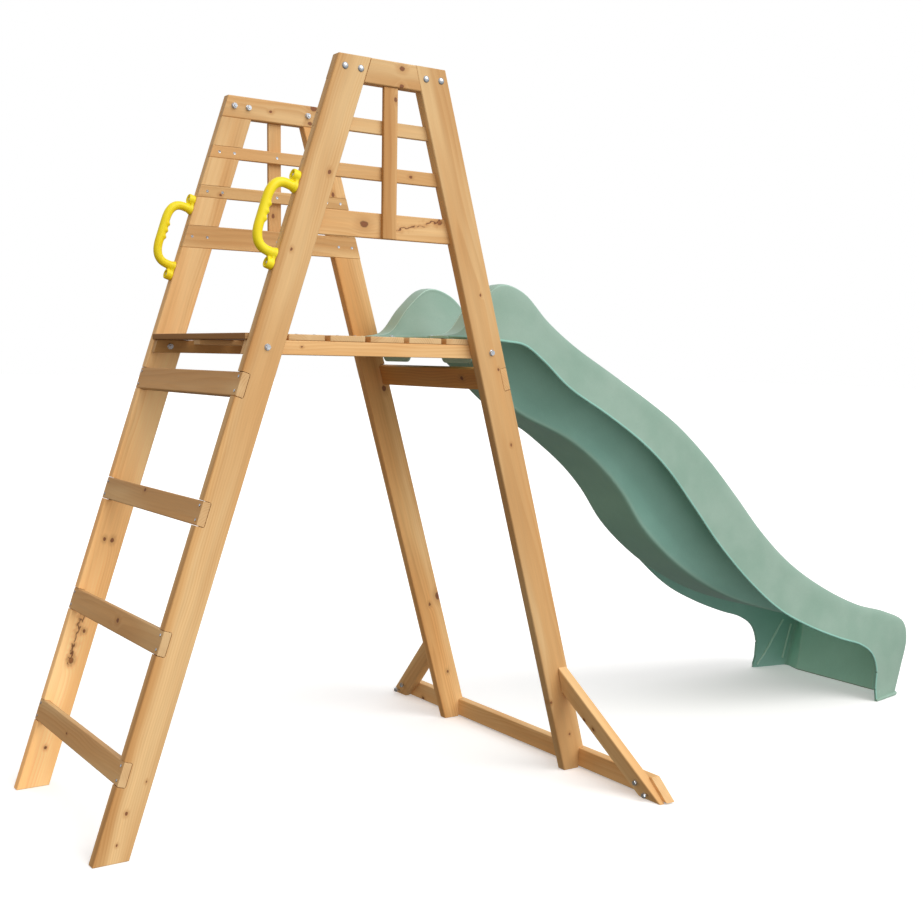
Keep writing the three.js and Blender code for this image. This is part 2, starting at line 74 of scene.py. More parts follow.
# Knots that show most, as (x, z, radius) in mm from the ladder's foot, seen from the side.
KNOTS = {
    "right_ladder_stile": [(516, 1437, 3.2), (617, 1623, 4.2), (84, 118, 3.4), (60, 45, 2.4)],
    "right_rear_leg": [
        (1066, 1354, 2.6), (1130, 1162, 2.8), (1179, 959, 3.0), (1419, 109, 3.0), (1347, 213, 3.0),
        (969, 1470, 2.4),
    ],
    "right_top_crossboard": [(818, 1886, 5.6), (817, 1845, 4.6)],
    "right_centre_slat": [(803, 1812, 4.2)],
    "right_guard_slat_2": [(856, 1635, 3.4)],
    "right_guard_board": [(723, 1511, 8.4), (945, 1530, 6.2)],
    "left_ladder_stile": [
        (262, 677, 4.0), (283, 672, 4.8), (160, 345, 6.5), (198, 424, 4.0), (82, 108, 3.4),
    ],
    "left_rear_leg": [
        (971, 1658, 5.0), (1011, 1636, 6.0), (1153, 1093, 7.0), (1365, 420, 9.0), (1335, 395, 4.0),
        (1410, 160, 4.0),
    ],
    "left_top_crossboard": [(907, 1894, 8.0), (895, 1851, 5.5), (770, 1869, 3.5)],
    "left_centre_slat": [(784, 1584, 5.0)],
}
# Dark splits in the wood, as (x, z) of each end and a half-width, in mm.
SPLITS = {
    "right_guard_board": (812, 1501, 944, 1534, 2.6),
    "left_ladder_stile": (196, 474, 152, 338, 3.4),
}
# Boards that stand out: how far the heartwood reaches, brightness at the low and high end, redness. Some
# entries are painted light and shade, as noted above them.
TONES_AND_PAINTED_LIGHT = {
    # Painted light: brighter, most at its foot, where the near frame shades this far stile.
    "left_ladder_stile": (0.030, 1.80, 1.00, 0.20),
    # Painted shade: darker and redder, for its inner face in shade under the deck.
    "left_deck_rail": (0.200, 0.82, 0.82, 1.00),
    # Painted light: brighter where the near frame shades this far leg.
    "left_rear_leg": (0.050, 1.30, 1.20, 0.50),
    "left_brace": (0.010, 1.14, 1.14, 0.10),
    "right_brace": (0.010, 1.14, 1.14, 0.05),
    "right_deck_rail": (0.012, 1.16, 1.16, 0.05),
    "right_guard_board": (0.018, 1.08, 1.08, 0.15),
    # Painted reflection: redder and brighter, for the orange light bounced onto it.
    "rear_cross_member": (0.200, 1.25, 1.25, 1.00),
    # Painted shade: darker and redder, for the shade and bounced light on its front.
    "deck_board_1": (0.200, 0.64, 0.64, 1.00),
    "base_beam": (0.030, 1.28, 1.28, 0.40),
}
# What is drawn at random for each board, in this order. Lengths in metres.
BOARD_RANGE = {
    "pith across": (-0.030, 0.030),
    "pith depth": (0.030, 0.085),
    "seed": (0.0, 40.0),
    "heart edge": (0.028, 0.070),
    "light": (0.95, 1.05),
    "ruddy": (0.35, 0.85),
}
RANDOM_KNOT_COUNTS = (0, 0, 1, 1, 2)
RANDOM_KNOT_SIZE = (0.05, 0.11)  # of the board's width
KNOT_SLOTS = 6
NOWHERE = (9.0, 9.0, 0.001)  # a knot or split that no board reaches

HANDS = (("right", -1.0), ("left", 1.0))  # each side frame's name and the sign of its Y
RUNG_COUNT = 4
DECK_BOARD_COUNT = 6


def place(x, y, z):
    return Vector(((x - FOOT_X) * MM, y * MM, z * MM))


def smooth(value, low, high):
    share = min(max((value - low) / (high - low), 0.0), 1.0)
    return share * share * (3.0 - 2.0 * share)


def blend(first, second, share):
    return first + (second - first) * share


# ---------------------------------------------------------------- shader graphs
class Graph:
    """Shader nodes of one material, each method giving the socket that carries its result."""

    def __init__(self, tree):
        self.nodes = tree.nodes
        self.links = tree.links

    def feed(self, socket, value):
        if isinstance(value, bpy.types.NodeSocket):
            self.links.new(value, socket)
        else:
            socket.default_value = value

    def node(self, kind, inputs=(), **settings):
        node = self.nodes.new(kind)
        for key, value in settings.items():
            setattr(node, key, value)
        for key, value in dict(inputs).items():
            self.feed(node.inputs[key], value)
        return node

    def math(self, operation, *values):
        return self.node("ShaderNodeMath", enumerate(values), operation=operation).outputs[0]

    def plus(self, first, second):
        return self.math("ADD", first, second)

    def minus(self, first, second):
        return self.math("SUBTRACT", first, second)

    def times(self, first, second):
        return self.math("MULTIPLY", first, second)

    def times_plus(self, first, second, third):
        return self.math("MULTIPLY_ADD", first, second, third)

    def length(self, first, second):
        """The length of the diagonal of a first by second rectangle."""
        return self.math("SQRT", self.times_plus(first, first, self.times(second, second)))

    def vector(self, operation, *values):
        return self.node("ShaderNodeVectorMath", enumerate(values), operation=operation).outputs[0]

    def attribute(self, name, output="Vector"):
        return self.node("ShaderNodeAttribute", attribute_name=name).outputs[output]

    def split(self, vector):
        return list(self.node("ShaderNodeSeparateXYZ", {0: vector}).outputs)

    def noise(self, vector, stretch, detail=2.0, output="Fac"):
        scaled = self.vector("MULTIPLY", vector, stretch)
        inputs = {"Vector": scaled, "Scale": 1.0, "Detail": detail}
        return self.node("ShaderNodeTexNoise", inputs).outputs[output]

    def step(self, value, low, high, start=0.0, end=1.0):
        inputs = {"Value": value, "From Min": low, "From Max": high, "To Min": start, "To Max": end}
        return self.node("ShaderNodeMapRange", inputs, interpolation_type="SMOOTHSTEP").outputs[0]

    def mix(self, share, first, second, blend="MIX"):
        node = self.node("ShaderNodeMix", data_type="RGBA", blend_type=blend)
        for index, value in zip((0, 6, 7), (share, first, second)):
            self.feed(node.inputs[index], value)
        return node.outputs[2]

    def scaled(self, colour, amount):
        node = self.node("ShaderNodeVectorMath", operation="SCALE")
        self.feed(node.inputs[0], colour)
        self.feed(node.inputs["Scale"], amount)
        return node.outputs[0]

    def bump(self, height, strength, distance):
        inputs = {"Height": height, "Strength": strength, "Distance": distance}
        return self.node("ShaderNodeBump", inputs).outputs[0]


def new_material(name, build, **constants):
    """A material whose principled shader is fed by build(graph), plus plain constants."""
    material = bpy.data.materials.new(name)
    material.use_nodes = True
    graph = Graph(material.node_tree)
    shader = next(node for node in graph.nodes if node.type == "BSDF_PRINCIPLED")
    for key, value in build(graph).items():
        graph.feed(shader.inputs[key], value)
    for key, value in constants.items():
        shader.inputs[key.replace("_", " ")].default_value = value
    return material


def rgb(red, green, blue):
    return (red, green, blue, 1.0)


# ---------------------------------------------------------------- materials
PINE = {
    "sap": rgb(0.83, 0.555, 0.268),
    "sap late ring": rgb(0.695, 0.402, 0.160),
    "heart": rgb(0.690, 0.375, 0.125),
    "heart late ring": rgb(0.54, 0.245, 0.070),
    "tan band": rgb(0.86, 0.735, 0.61),
    "knot halo": rgb(0.52, 0.245, 0.080),
    "knot": rgb(0.33, 0.130, 0.050),
    "knot ring": rgb(0.20, 0.066, 0.026),
    "bark": rgb(0.060, 0.020, 0.009),
    "split edge": rgb(0.52, 0.215, 0.060),
    "split": rgb(0.165, 0.052, 0.020),
    "end": rgb(0.72, 0.49, 0.26),
    "end late ring": rgb(0.42, 0.25, 0.11),
}
# Noises in the wood: how many to the metre along, across and through the board, and the detail.
PINE_NOISE = {
    "warp": ((90.0, 150.0, 90.0), 2.0),
    "jag": ((55.0, 70.0, 70.0), 3.0),
    "wander": ((1.6, 3.0, 3.0), 2.0),
    "ripple": ((7.0, 22.0, 22.0), 2.0),
    "patchy": ((1.4, 30.0, 30.0), 1.0),
    "streak": ((2.2, 75.0, 75.0), 3.0),
    "fibre": ((16.0, 520.0, 520.0), 2.0),
    "broad": ((0.9, 13.0, 13.0), 2.0),
    "tan": ((1.5, 11.0, 11.0), 2.0),
    "cleft": ((60.0, 90.0, 90.0), 2.0),
}
RING_PITCH = 0.0062  # metres between growth rings
TRUNK_TAPER = 0.011
KNOT_STRETCH = 0.72  # below 1, knots are longer than they are wide
KNOT_FADE = 0.16
KNOT_PUSH = 1.5
KNOT_RINGS = 17.0
PIN_KNOT_CELLS = (5.0, 9.0, 0.0)
PIN_KNOT_LEAST = 0.012
PIN_KNOT_SPREAD = 0.016
PIN_KNOT_SHARE = 0.20
FAR_AWAY = 60.0  # knot radii
# The slide's green as a lit copy and a shaded copy, which paint light and shade, and a pale green for
# painted highlights.
SAGE = {
    "lit_side": rgb(0.250, 0.392, 0.312),
    "lit_side_pale": rgb(0.302, 0.436, 0.358),
    "shade_side": rgb(0.258, 0.525, 0.445),
    "shade_side_pale": rgb(0.292, 0.570, 0.488),
    "painted_highlight": rgb(0.60, 0.88, 0.76),
}
YELLOW = (rgb(1.0, 0.78, 0.008), rgb(1.0, 0.85, 0.020))
ZINC = (rgb(0.50, 0.54, 0.60), rgb(0.74, 0.77, 0.81))


def nearest_knot(graph, along, across):
    """How far the point is from its nearest knot, in knot radii, and how far knots push the rings."""
    nearest, push = FAR_AWAY, 0.0
    for index in range(KNOT_SLOTS):
        knot_along, knot_across, radius = graph.split(graph.attribute(f"knot_{index + 1}"))
        run = graph.times(graph.minus(along, knot_along), KNOT_STRETCH)
        rise = graph.minus(across, knot_across)
        ratio = graph.math("DIVIDE", graph.length(rise, run), radius)
        nearest = graph.math("MINIMUM", nearest, ratio)
        fade = graph.math("EXPONENT", graph.times(graph.times(ratio, ratio), -KNOT_FADE))
        push = graph.times_plus(graph.times(fade, radius), KNOT_PUSH, push)
    return nearest, push


def near_split(graph, along, across):
    """How far the point is from its board's split, in the split's half-widths."""
    start_along, start_across, half_width = graph.split(graph.attribute("split_start"))
    run_along, run_across, _ = graph.split(graph.attribute("split_run"))
    from_along = graph.minus(along, start_along)
    from_across = graph.minus(across, start_across)
    dot = graph.times_plus(from_along, run_along, graph.times(from_across, run_across))
    length = graph.times_plus(run_along, run_along, graph.times(run_across, run_across))
    share = graph.math("MINIMUM", graph.math("MAXIMUM", graph.math("DIVIDE", dot, length), 0.0), 1.0)
    off_along = graph.minus(from_along, graph.times(run_along, share))
    off_across = graph.minus(from_across, graph.times(run_across, share))
    return graph.math("DIVIDE", graph.length(off_along, off_across), half_width)


def pin_knots(graph, grain):
    """Distance to scattered pin knots, in knot radii."""
    flat = graph.vector("MULTIPLY", grain, PIN_KNOT_CELLS)
    cells = graph.node("ShaderNodeTexVoronoi", {"Vector": flat, "Scale": 1.0})
    chance, size, _ = graph.split(cells.outputs["Color"])
    radius = graph.times_plus(size, PIN_KNOT_SPREAD, PIN_KNOT_LEAST)
    ratio = graph.math("DIVIDE", cells.outputs["Distance"], radius)
    absent = graph.times(graph.math("GREATER_THAN", chance, PIN_KNOT_SHARE), FAR_AWAY)
    return graph.plus(ratio, absent)


def jittered(graph, noise, amount_along, amount_across, along, across):
    """The point (along, across) moved about by a colour noise."""
    shift_along, shift_across, _ = graph.split(graph.vector("SUBTRACT", noise, (0.5, 0.5, 0.5)))
    moved_along = graph.times_plus(shift_along, amount_along, along)
    return moved_along, graph.times_plus(shift_across, amount_across, across)


def pine(graph):
    """Oiled pine: growth rings round a pith, redder heartwood, fibres, knots and end grain."""
    pith_across, pith_depth, seed = graph.split(graph.attribute("board"))
    # Brightness and redness also carry painted light and shade on some listed boards.
    heart_edge, brightness, ruddy = graph.split(graph.attribute("tone_and_light"))
    end = graph.attribute("end", "Fac")
    own = graph.attribute("grain")
    seeds = graph.node("ShaderNodeCombineXYZ", {0: seed, 1: seed, 2: seed}).outputs[0]
    grain = graph.vector("ADD", own, seeds)
    along, across, depth = graph.split(own)

    def pattern(name, output="Fac"):
        return graph.noise(grain, *PINE_NOISE[name], output)

    warped = jittered(graph, pattern("warp", "Color"), 0.005, 0.005, along, across)
    nearest, push = nearest_knot(graph, *warped)
    nearest = graph.math("MINIMUM", nearest, pin_knots(graph, grain))
    jagged = jittered(graph, pattern("jag", "Color"), 0.016, 0.034, along, across)
    split = near_split(graph, *jagged)

    bend = graph.times_plus(pattern("wander"), 0.075, graph.times(pattern("ripple"), 0.006))
    off_across = graph.plus(graph.minus(across, pith_across), bend)
    off_depth = graph.minus(depth, pith_depth)
    radius = graph.plus(graph.length(off_across, off_depth), push)
    tapered = graph.times_plus(along, TRUNK_TAPER, radius)

    phase = graph.math("FRACT", graph.math("DIVIDE", tapered, RING_PITCH))
    late = graph.times(graph.step(phase, 0.15, 0.9), graph.step(phase, 0.90, 1.0, 1.0, 0.0))
    late = graph.times(late, graph.step(pattern("patchy"), 0.32, 0.75, 0.06, 0.60))
    streak = pattern("streak")
    fibre = pattern("fibre")

    heart_line = graph.times_plus(streak, 0.012, radius)
    heart = graph.step(graph.minus(heart_line, heart_edge), -0.004, 0.010, 1.0, 0.0)
    sap_colour = graph.mix(late, PINE["sap"], PINE["sap late ring"])
    heart_colour = graph.mix(late, PINE["heart"], PINE["heart late ring"])
    wood = graph.mix(graph.times(heart, ruddy), sap_colour, heart_colour)
    tanned = graph.mix(1.0, wood, PINE["tan band"], "MULTIPLY")
    wood = graph.mix(graph.step(pattern("tan"), 0.32, 0.62), wood, tanned)
    light = graph.times_plus(fibre, 0.14, graph.times_plus(pattern("broad"), 0.34, 0.70))
    light = graph.times_plus(graph.minus(streak, 0.5), 0.22, light)
    wood = graph.scaled(wood, graph.times(light, brightness))

    wood = graph.mix(graph.step(nearest, 0.9, 3.6, 0.50, 0.0), wood, PINE["knot halo"])
    rings = graph.math("SINE", graph.times(nearest, KNOT_RINGS))
    knot = graph.mix(graph.times_plus(rings, 0.3, 0.5), PINE["knot"], PINE["knot ring"])
    bark = graph.times(graph.step(nearest, 0.62, 0.92), graph.step(nearest, 1.0, 1.22, 1.0, 0.0))
    knot = graph.mix(graph.times(bark, 0.8), knot, PINE["bark"])
    wood = graph.mix(graph.step(nearest, 0.66, 1.20, 1.0, 0.0), wood, knot)
    wood = graph.mix(graph.step(split, 0.8, 5.0, 0.45, 0.0), wood, PINE["split edge"])
    cleft = graph.times(graph.step(split, 0.5, 1.3, 0.9, 0.0), graph.step(pattern("cleft"), 0.34, 0.56))
    wood = graph.mix(cleft, wood, PINE["split"])
    end_colour = graph.mix(late, PINE["end"], PINE["end late ring"])
    wood = graph.mix(graph.times(end, 0.45), wood, end_colour)

    height = graph.times_plus(late, 0.35, graph.times(fibre, 0.65))
    rough = graph.times_plus(streak, 0.16, graph.times_plus(fibre, 0.12, 0.44))
    return {"Base Color": wood, "Roughness": rough, "Normal": graph.bump(height, 0.45, 0.0004)}


def sage_plastic(graph):
    """Rotation-moulded polyethylene, mottled, with painted light and shade: a paler, greyer lit copy
    outside, a deeper green shaded copy underneath, painted highlights on edges.
    """
    point = graph.attribute("grain")
    cloud = graph.noise(point, (7.0, 7.0, 7.0), 4.0)
    speck = graph.noise(point, (420.0, 420.0, 420.0), 2.0)
    scuff = graph.noise(point, (30.0, 160.0, 30.0), 3.0)
    clouded = graph.step(cloud, 0.30, 0.72)
    # Painted light: the outer skin takes the lit copy, paler and greyer.
    colour = graph.mix(clouded, SAGE["lit_side"], SAGE["lit_side_pale"])
    # Painted shade: the marked shade side takes the deeper green copy; values above 1 brighten it as
    # painted fill light.
    painted_shade_side = graph.attribute("painted_shade_side", "Fac")
    shade_side = graph.mix(clouded, SAGE["shade_side"], SAGE["shade_side_pale"])
    shade_side = graph.scaled(shade_side, graph.math("MAXIMUM", painted_shade_side, 1.0))
    colour = graph.mix(painted_shade_side, colour, shade_side)
    # Painted highlights where light catches the slide's edges and creases.
    colour = graph.mix(graph.attribute("painted_highlight", "Fac"), colour, SAGE["painted_highlight"])
    light = graph.times_plus(speck, 0.16, graph.times_plus(scuff, 0.06, 0.89))
    colour = graph.scaled(colour, light)
    height = graph.times_plus(speck, 0.6, graph.times(scuff, 0.5))
    rough = graph.times_plus(cloud, 0.14, graph.times_plus(scuff, 0.10, 0.36))
    return {"Base Color": colour, "Roughness": rough, "Normal": graph.bump(height, 0.22, 0.0005)}


def yellow_plastic(graph):
    """Injection-moulded grip plastic with a satin skin and faint flow marks."""
    point = graph.attribute("grain")
    flow = graph.noise(point, (30.0, 30.0, 30.0), 3.0)
    skin = graph.noise(point, (900.0, 900.0, 900.0), 2.0)
    colour = graph.mix(graph.step(flow, 0.25, 0.8), *YELLOW)
    colour = graph.scaled(colour, graph.times_plus(skin, 0.08, 0.95))
    rough = graph.times_plus(skin, 0.14, graph.times_plus(flow, 0.10, 0.24))
    return {"Base Color": colour, "Roughness": rough, "Normal": graph.bump(skin, 0.12, 0.0002)}


def zinc_plate(graph):
    """Bright zinc plating: bluish, faintly clouded, with fine drawing marks."""
    point = graph.attribute("grain")
    cloud = graph.noise(point, (220.0, 220.0, 220.0), 3.0)
    mark = graph.noise(point, (300.0, 2600.0, 900.0), 2.0)
    colour = graph.mix(graph.step(cloud, 0.3, 0.75), *ZINC)
    rough = graph.times_plus(cloud, 0.16, graph.times_plus(mark, 0.12, 0.07))
    return {"Base Color": colour, "Roughness": rough, "Normal": graph.bump(mark, 0.10, 0.0001)}


def floor_paint(graph):
    """Matt white studio floor, faintly clouded and gritty."""
    point = graph.node("ShaderNodeTexCoord").outputs["Object"]
    cloud = graph.noise(point, (0.8, 0.8, 0.8), 3.0)
    grit = graph.noise(point, (60.0, 60.0, 60.0), 2.0)
    shade = graph.times_plus(cloud, 0.02, graph.times_plus(grit, 0.01, 0.965))
    tint = graph.scaled((1.0, 1.0, 1.0), shade)
    return {"Base Color": tint, "Emission Color": tint, "Roughness": graph.step(grit, 0.0, 1.0, 0.92, 1.0)}


MATERIALS = {
    "pine": new_material("pine", pine, Specular_IOR_Level=0.30),
    "slide_plastic": new_material("slide_plastic", sage_plastic, Specular_IOR_Level=0.42),
    "grip_plastic": new_material("grip_plastic", yellow_plastic, Specular_IOR_Level=0.36),
    "zinc": new_material("zinc", zinc_plate, Metallic=1.0),
}


# ---------------------------------------------------------------- pieces
def write_attribute(mesh, name, values, kind="FLOAT_VECTOR", domain="POINT", field="vector"):
    layer = mesh.attributes.new(name, kind, domain)
    layer.data.foreach_set(field, values)


def new_object(name, mesh):
    piece = bpy.data.objects.new(name, mesh)
    bpy.context.scene.collection.objects.link(piece)
    return piece


def object_from(name, bm):
    mesh = bpy.data.meshes.new(name)
    bm.to_mesh(mesh)
    bm.free()
    return new_object(name, mesh)


def apply_modifiers(piece):
    bpy.context.view_layer.update()
    depsgraph = bpy.context.evaluated_depsgraph_get()
    mesh = bpy.data.meshes.new_from_object(piece.evaluated_get(depsgraph))
    piece.modifiers.clear()
    piece.data = mesh
    return mesh


def finish_piece(piece, slot, nodes=(), sharp=35.0):
    """Smooth shading with crisp corners, the slot's material, and a place on the body."""
    mesh = piece.data
    mesh.materials.clear()
    mesh.materials.append(MATERIALS[slot])
    mesh.shade_smooth()
    mesh.set_sharp_from_angle(angle=math.radians(sharp))
    if "grain" not in mesh.attributes:
        write_attribute(mesh, "grain", [value for vertex in mesh.vertices for value in vertex.co])
    weighted = piece.modifiers.new("weighted", "WEIGHTED_NORMAL")
    weighted.keep_sharp = True
    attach(piece, "root")
    if nodes:
        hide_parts(*nodes)
    return piece


# ---------------------------------------------------------------- timber
def dominant_positive(vector):
    largest = max(vector, key=abs)
    return vector if largest > 0 else -vector


def board_axes(bm):
    """Unit vectors along a board, across its face and through its thickness."""
    edge = max(bm.edges, key=lambda e: e.calc_length())
    along = dominant_positive((edge.verts[1].co - edge.verts[0].co).normalized())
    face = max(bm.faces, key=lambda f: f.calc_area())
    depth = dominant_positive((face.normal - along * along.dot(face.normal)).normalized())
    return along, dominant_positive(depth.cross(along)), depth


def span(points, axis):
    values = [axis.dot(point) for point in points]
    return min(values), max(values)


def at_limit(edge, axis, limits, slack=0.0004):
    return any(all(abs(axis.dot(v.co) - limit) < slack for v in edge.verts) for limit in limits)


def in_a_bore(face):
    """True for the narrow facets inside a bolt or screw hole, which its fastener hides."""
    short = [edge for edge in face.edges if edge.calc_length() < BORE_FACET]
    return len(short) >= 2 and face.calc_area() < BORE_FACET * BORE_LENGTH


def plain_copy(node):
    """The CAD board without its bores, as a few flat faces."""
    bm = bmesh.new()
    bm.from_mesh(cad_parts[node].data)
    for close_bores in (True, False):
        bmesh.ops.remove_doubles(bm, verts=bm.verts, dist=1e-5)
        bmesh.ops.dissolve_limit(bm, angle_limit=math.radians(1.0), verts=bm.verts, edges=bm.edges)
        if close_bores:
            bores = [face for face in bm.faces if in_a_bore(face)]
            bmesh.ops.delete(bm, geom=bores, context="FACES")
            bmesh.ops.holes_fill(bm, edges=[edge for edge in bm.edges if edge.is_boundary], sides=0)
    bmesh.ops.recalc_face_normals(bm, faces=bm.faces)
    bm.normal_update()
    return bm


def mark_arrises(bm, axes, arris, end_arris, fillet):
    """Weights for the bevel: 1 means the widest rounding."""
    along, across, depth = axes
    points = [vertex.co for vertex in bm.verts]
    limits = [span(points, axis) for axis in axes]
    weights = bm.edges.layers.float.new("bevel_weight_edge")
    widest = max(arris, end_arris, fillet)
    for edge in bm.edges:
        if len(edge.link_faces) != 2 or edge.calc_face_angle() < SHARP_FOLD:
            continue
        run = (edge.verts[1].co - edge.verts[0].co).normalized()
        lengthwise = abs(run.dot(along)) > ALIGNED
        outer = at_limit(edge, across, limits[1]) and at_limit(edge, depth, limits[2])
        if edge.is_convex and lengthwise and outer:
            edge[weights] = arris / widest
        elif edge.is_convex and not lengthwise and touches_end(edge, along, limits[0]):
            edge[weights] = end_arris / widest
        elif not edge.is_convex and fillet and abs(run.dot(depth)) > ALIGNED:
            edge[weights] = fillet / widest
    return widest


def touches_end(edge, along, limits):
    """True for an edge of a face that closes one end of the board."""
    for face in edge.link_faces:
        facing = face.normal.dot(along)
        limit = limits[1] if facing > 0 else limits[0]
        if abs(facing) > 0.5 and abs(along.dot(face.calc_center_median()) - limit) < 0.06:
            return True
    return False


def write_timber_attributes(mesh, node, axes, rng):
    """What the pine material reads: the grain's own axes, the pith, the tone, knots and a split."""
    along, across, _ = axes
    points = [vertex.co for vertex in mesh.vertices]
    middle = [sum(span(points, axis)) / 2 for axis in axes]
    grain = []
    for point in points:
        grain.extend(axis.dot(point) - offset for axis, offset in zip(axes, middle))
    write_attribute(mesh, "grain", grain)

    side = rng.choice((-1.0, 1.0))
    drawn = {name: rng.uniform(*limits) for name, limits in BOARD_RANGE.items()}
    board = (drawn["pith across"], side * drawn["pith depth"], drawn["seed"])
    tone_and_light = (drawn["heart edge"], drawn["light"], drawn["ruddy"])
    # Listed boards take brightness and redness from the table, which on some paints light and shade.
    heart_edge, low_light, high_light, ruddy = TONES_AND_PAINTED_LIGHT.get(node, (tone_and_light[0], tone_and_light[1], tone_and_light[1], tone_and_light[2]))
    low, high = span(points, along)
    tones_and_light = []
    for point in points:
        light = blend(low_light, high_light, (along.dot(point) - low) / (high - low))
        tones_and_light += [heart_edge, light, ruddy]
    count = len(points)
    write_attribute(mesh, "board", list(board) * count)
    write_attribute(mesh, "tone_and_light", tones_and_light)

    half_length = (high - low) / 2
    left, right = span(points, across)
    half_width = (right - left) / 2
    knots = []
    for x, z, radius in KNOTS.get(node, ()):
        point = place(x, 0.0, z)
        knots.append((along.dot(point) - middle[0], across.dot(point) - middle[1], radius * MM))
    if node not in KNOTS:
        for _ in range(rng.choice(RANDOM_KNOT_COUNTS)):
            size = rng.uniform(*RANDOM_KNOT_SIZE) * half_width * 2
            knots.append((rng.uniform(-0.9, 0.9) * half_length, rng.uniform(-0.8, 0.8) * half_width, size))
    knots += [NOWHERE] * (KNOT_SLOTS - len(knots))
    for index, knot in enumerate(knots[:KNOT_SLOTS]):
        write_attribute(mesh, f"knot_{index + 1}", list(knot) * count)

    split_start = NOWHERE
    split_run = (0.1, 0.0, 0.0)
    if node in SPLITS:
        x, z, end_x, end_z, half = SPLITS[node]
        start = place(x, 0.0, z)
        run = Vector((end_x - x, 0.0, end_z - z)) * MM
        split_start = (along.dot(start) - middle[0], across.dot(start) - middle[1], half * MM)
        split_run = (along.dot(run), across.dot(run), 0.0)
    write_attribute(mesh, "split_start", list(split_start) * count)
    write_attribute(mesh, "split_run", list(split_run) * count)

    facing = [1.0 if abs(polygon.normal.dot(along)) > 0.55 else 0.0 for polygon in mesh.polygons]
    write_attribute(mesh, "end", facing, "FLOAT", "FACE", "value")


def timber(node, arris, fillet=0.0, end_arris=END_ARRIS, shrink=0.0):
    """A detailed copy of a CAD board: rounded arrises, filleted notches and its own grain."""
    bm = plain_copy(node)
    axes = board_axes(bm)
    if shrink:
        tighten(bm, axes, shrink)
    widest = mark_arrises(bm, axes, arris, end_arris, fillet)
    piece = object_from(node + "_board", bm)
    bevel = piece.modifiers.new("arrises", "BEVEL")
    bevel.limit_method = "WEIGHT"
    bevel.width = widest * MM
    bevel.segments = 3
    bevel.use_clamp_overlap = False
    bevel.loop_slide = False
    mesh = apply_modifiers(piece)
    write_timber_attributes(mesh, node, axes, random.Random(node))
    return finish_piece(piece, "pine", [node])


def tighten(bm, axes, gap):
    """Takes a hair off a board's width and back, so that a thin joint line shows round its ends."""
    _, across, depth = axes
    for axis in (across, depth):
        low, high = span([vertex.co for vertex in bm.verts], axis)
        for vertex in bm.verts:
            share = (axis.dot(vertex.co) - low) / (high - low)
            vertex.co -= axis * (2 * share - 1) * gap * MM


def build_timbers():
    for hand in ("right", "left"):
        timber(f"{hand}_ladder_stile", ARRIS["timber"], NOTCH_FILLET)
        timber(f"{hand}_rear_leg", ARRIS["timber"], NOTCH_FILLET)
        timber(f"{hand}_top_crossboard", ARRIS["timber"])
        for name in ("guard_slat_1", "guard_slat_2", "guard_board", "centre_slat", "deck_rail"):
            timber(f"{hand}_{name}", ARRIS["thin"])
        timber(f"{hand}_brace", ARRIS["timber"])
    for index in range(1, RUNG_COUNT + 1):
        timber(f"rung_{index}", ARRIS["rung"], shrink=JOINT_GAP)
    timber("rear_cross_member", ARRIS["rung"], shrink=JOINT_GAP)
    for index in range(1, DECK_BOARD_COUNT + 1):
        timber(f"deck_board_{index}", ARRIS["thin"], end_arris=ARRIS["thin"])
    timber("deck_batten", ARRIS["thin"])
    timber("base_beam", ARRIS["timber"])


build_timbers()


# ---------------------------------------------------------------- the slide
WALL = 6.0
ROWS_PER_STATION = 6
COLUMNS_PER_POINT = 4
RIM_WIDTH = 30.0
HUMP_RIM_WIDTH = 62.0
FOOT_KICK = 9.0  # how far the skirt turns outward where it stands on the ground
SKIRT_FLARE = 23.0
RIM_HALF = (214.0, 266.0)
FLOOR_HALF = {"lip": 138.0, "neck": 64.0, "middle": 105.0, "exit": 180.0}

FLANGE = [(-2, 0), (5.5, 0), (8.0, 1.5), (9.2, 5.0), (8.2, 8.5), (5.0, 10.8), (-2, 12.0)]  # the foot's lip
# Where the half section gets a painted highlight, as points counted from its middle: rim's and floor's
# corner.
HIGHLIGHT_RIM = 7.5
HIGHLIGHT_CORNER = 2.5
# How much painted highlight each added edge gets, and its shade side value: 1 paints the shaded green, as
# on the hem, and more brightens it as painted light, as on the ribs and lugs.
EDGE_LOOK = {"flange": (0.12, 0.0), "hem": (0.0, 1.0), "ribs and lugs": (0.75, 1.3)}
# Painted shade side of the shell: the underside takes the shaded green, brightened a little as painted
# light, and more inside its nose.
SHADE_SIDE_PAINT = {"under": 1.08, "nose": 0.55}  # the shell's underside, and more inside its nose
RIBS = [((2880.0, 12.0), (2996.0, 187.0)), ((3001.0, 30.0), (3040.0, 165.0))]  # x and z of their ends
RIB_RADIUS = 4.6
RIB_STEPS = 12
HEM_RADIUS = 3.6
HEM_CLEAR = 3.0  # the hem bead ends this far above the ground
LUG_STEPS = 6
LUG = {"x": 1109.0, "inner": 85.0, "outer": 235.0, "bottom": 1176.0, "top": 1243.0, "corner": 22.0}

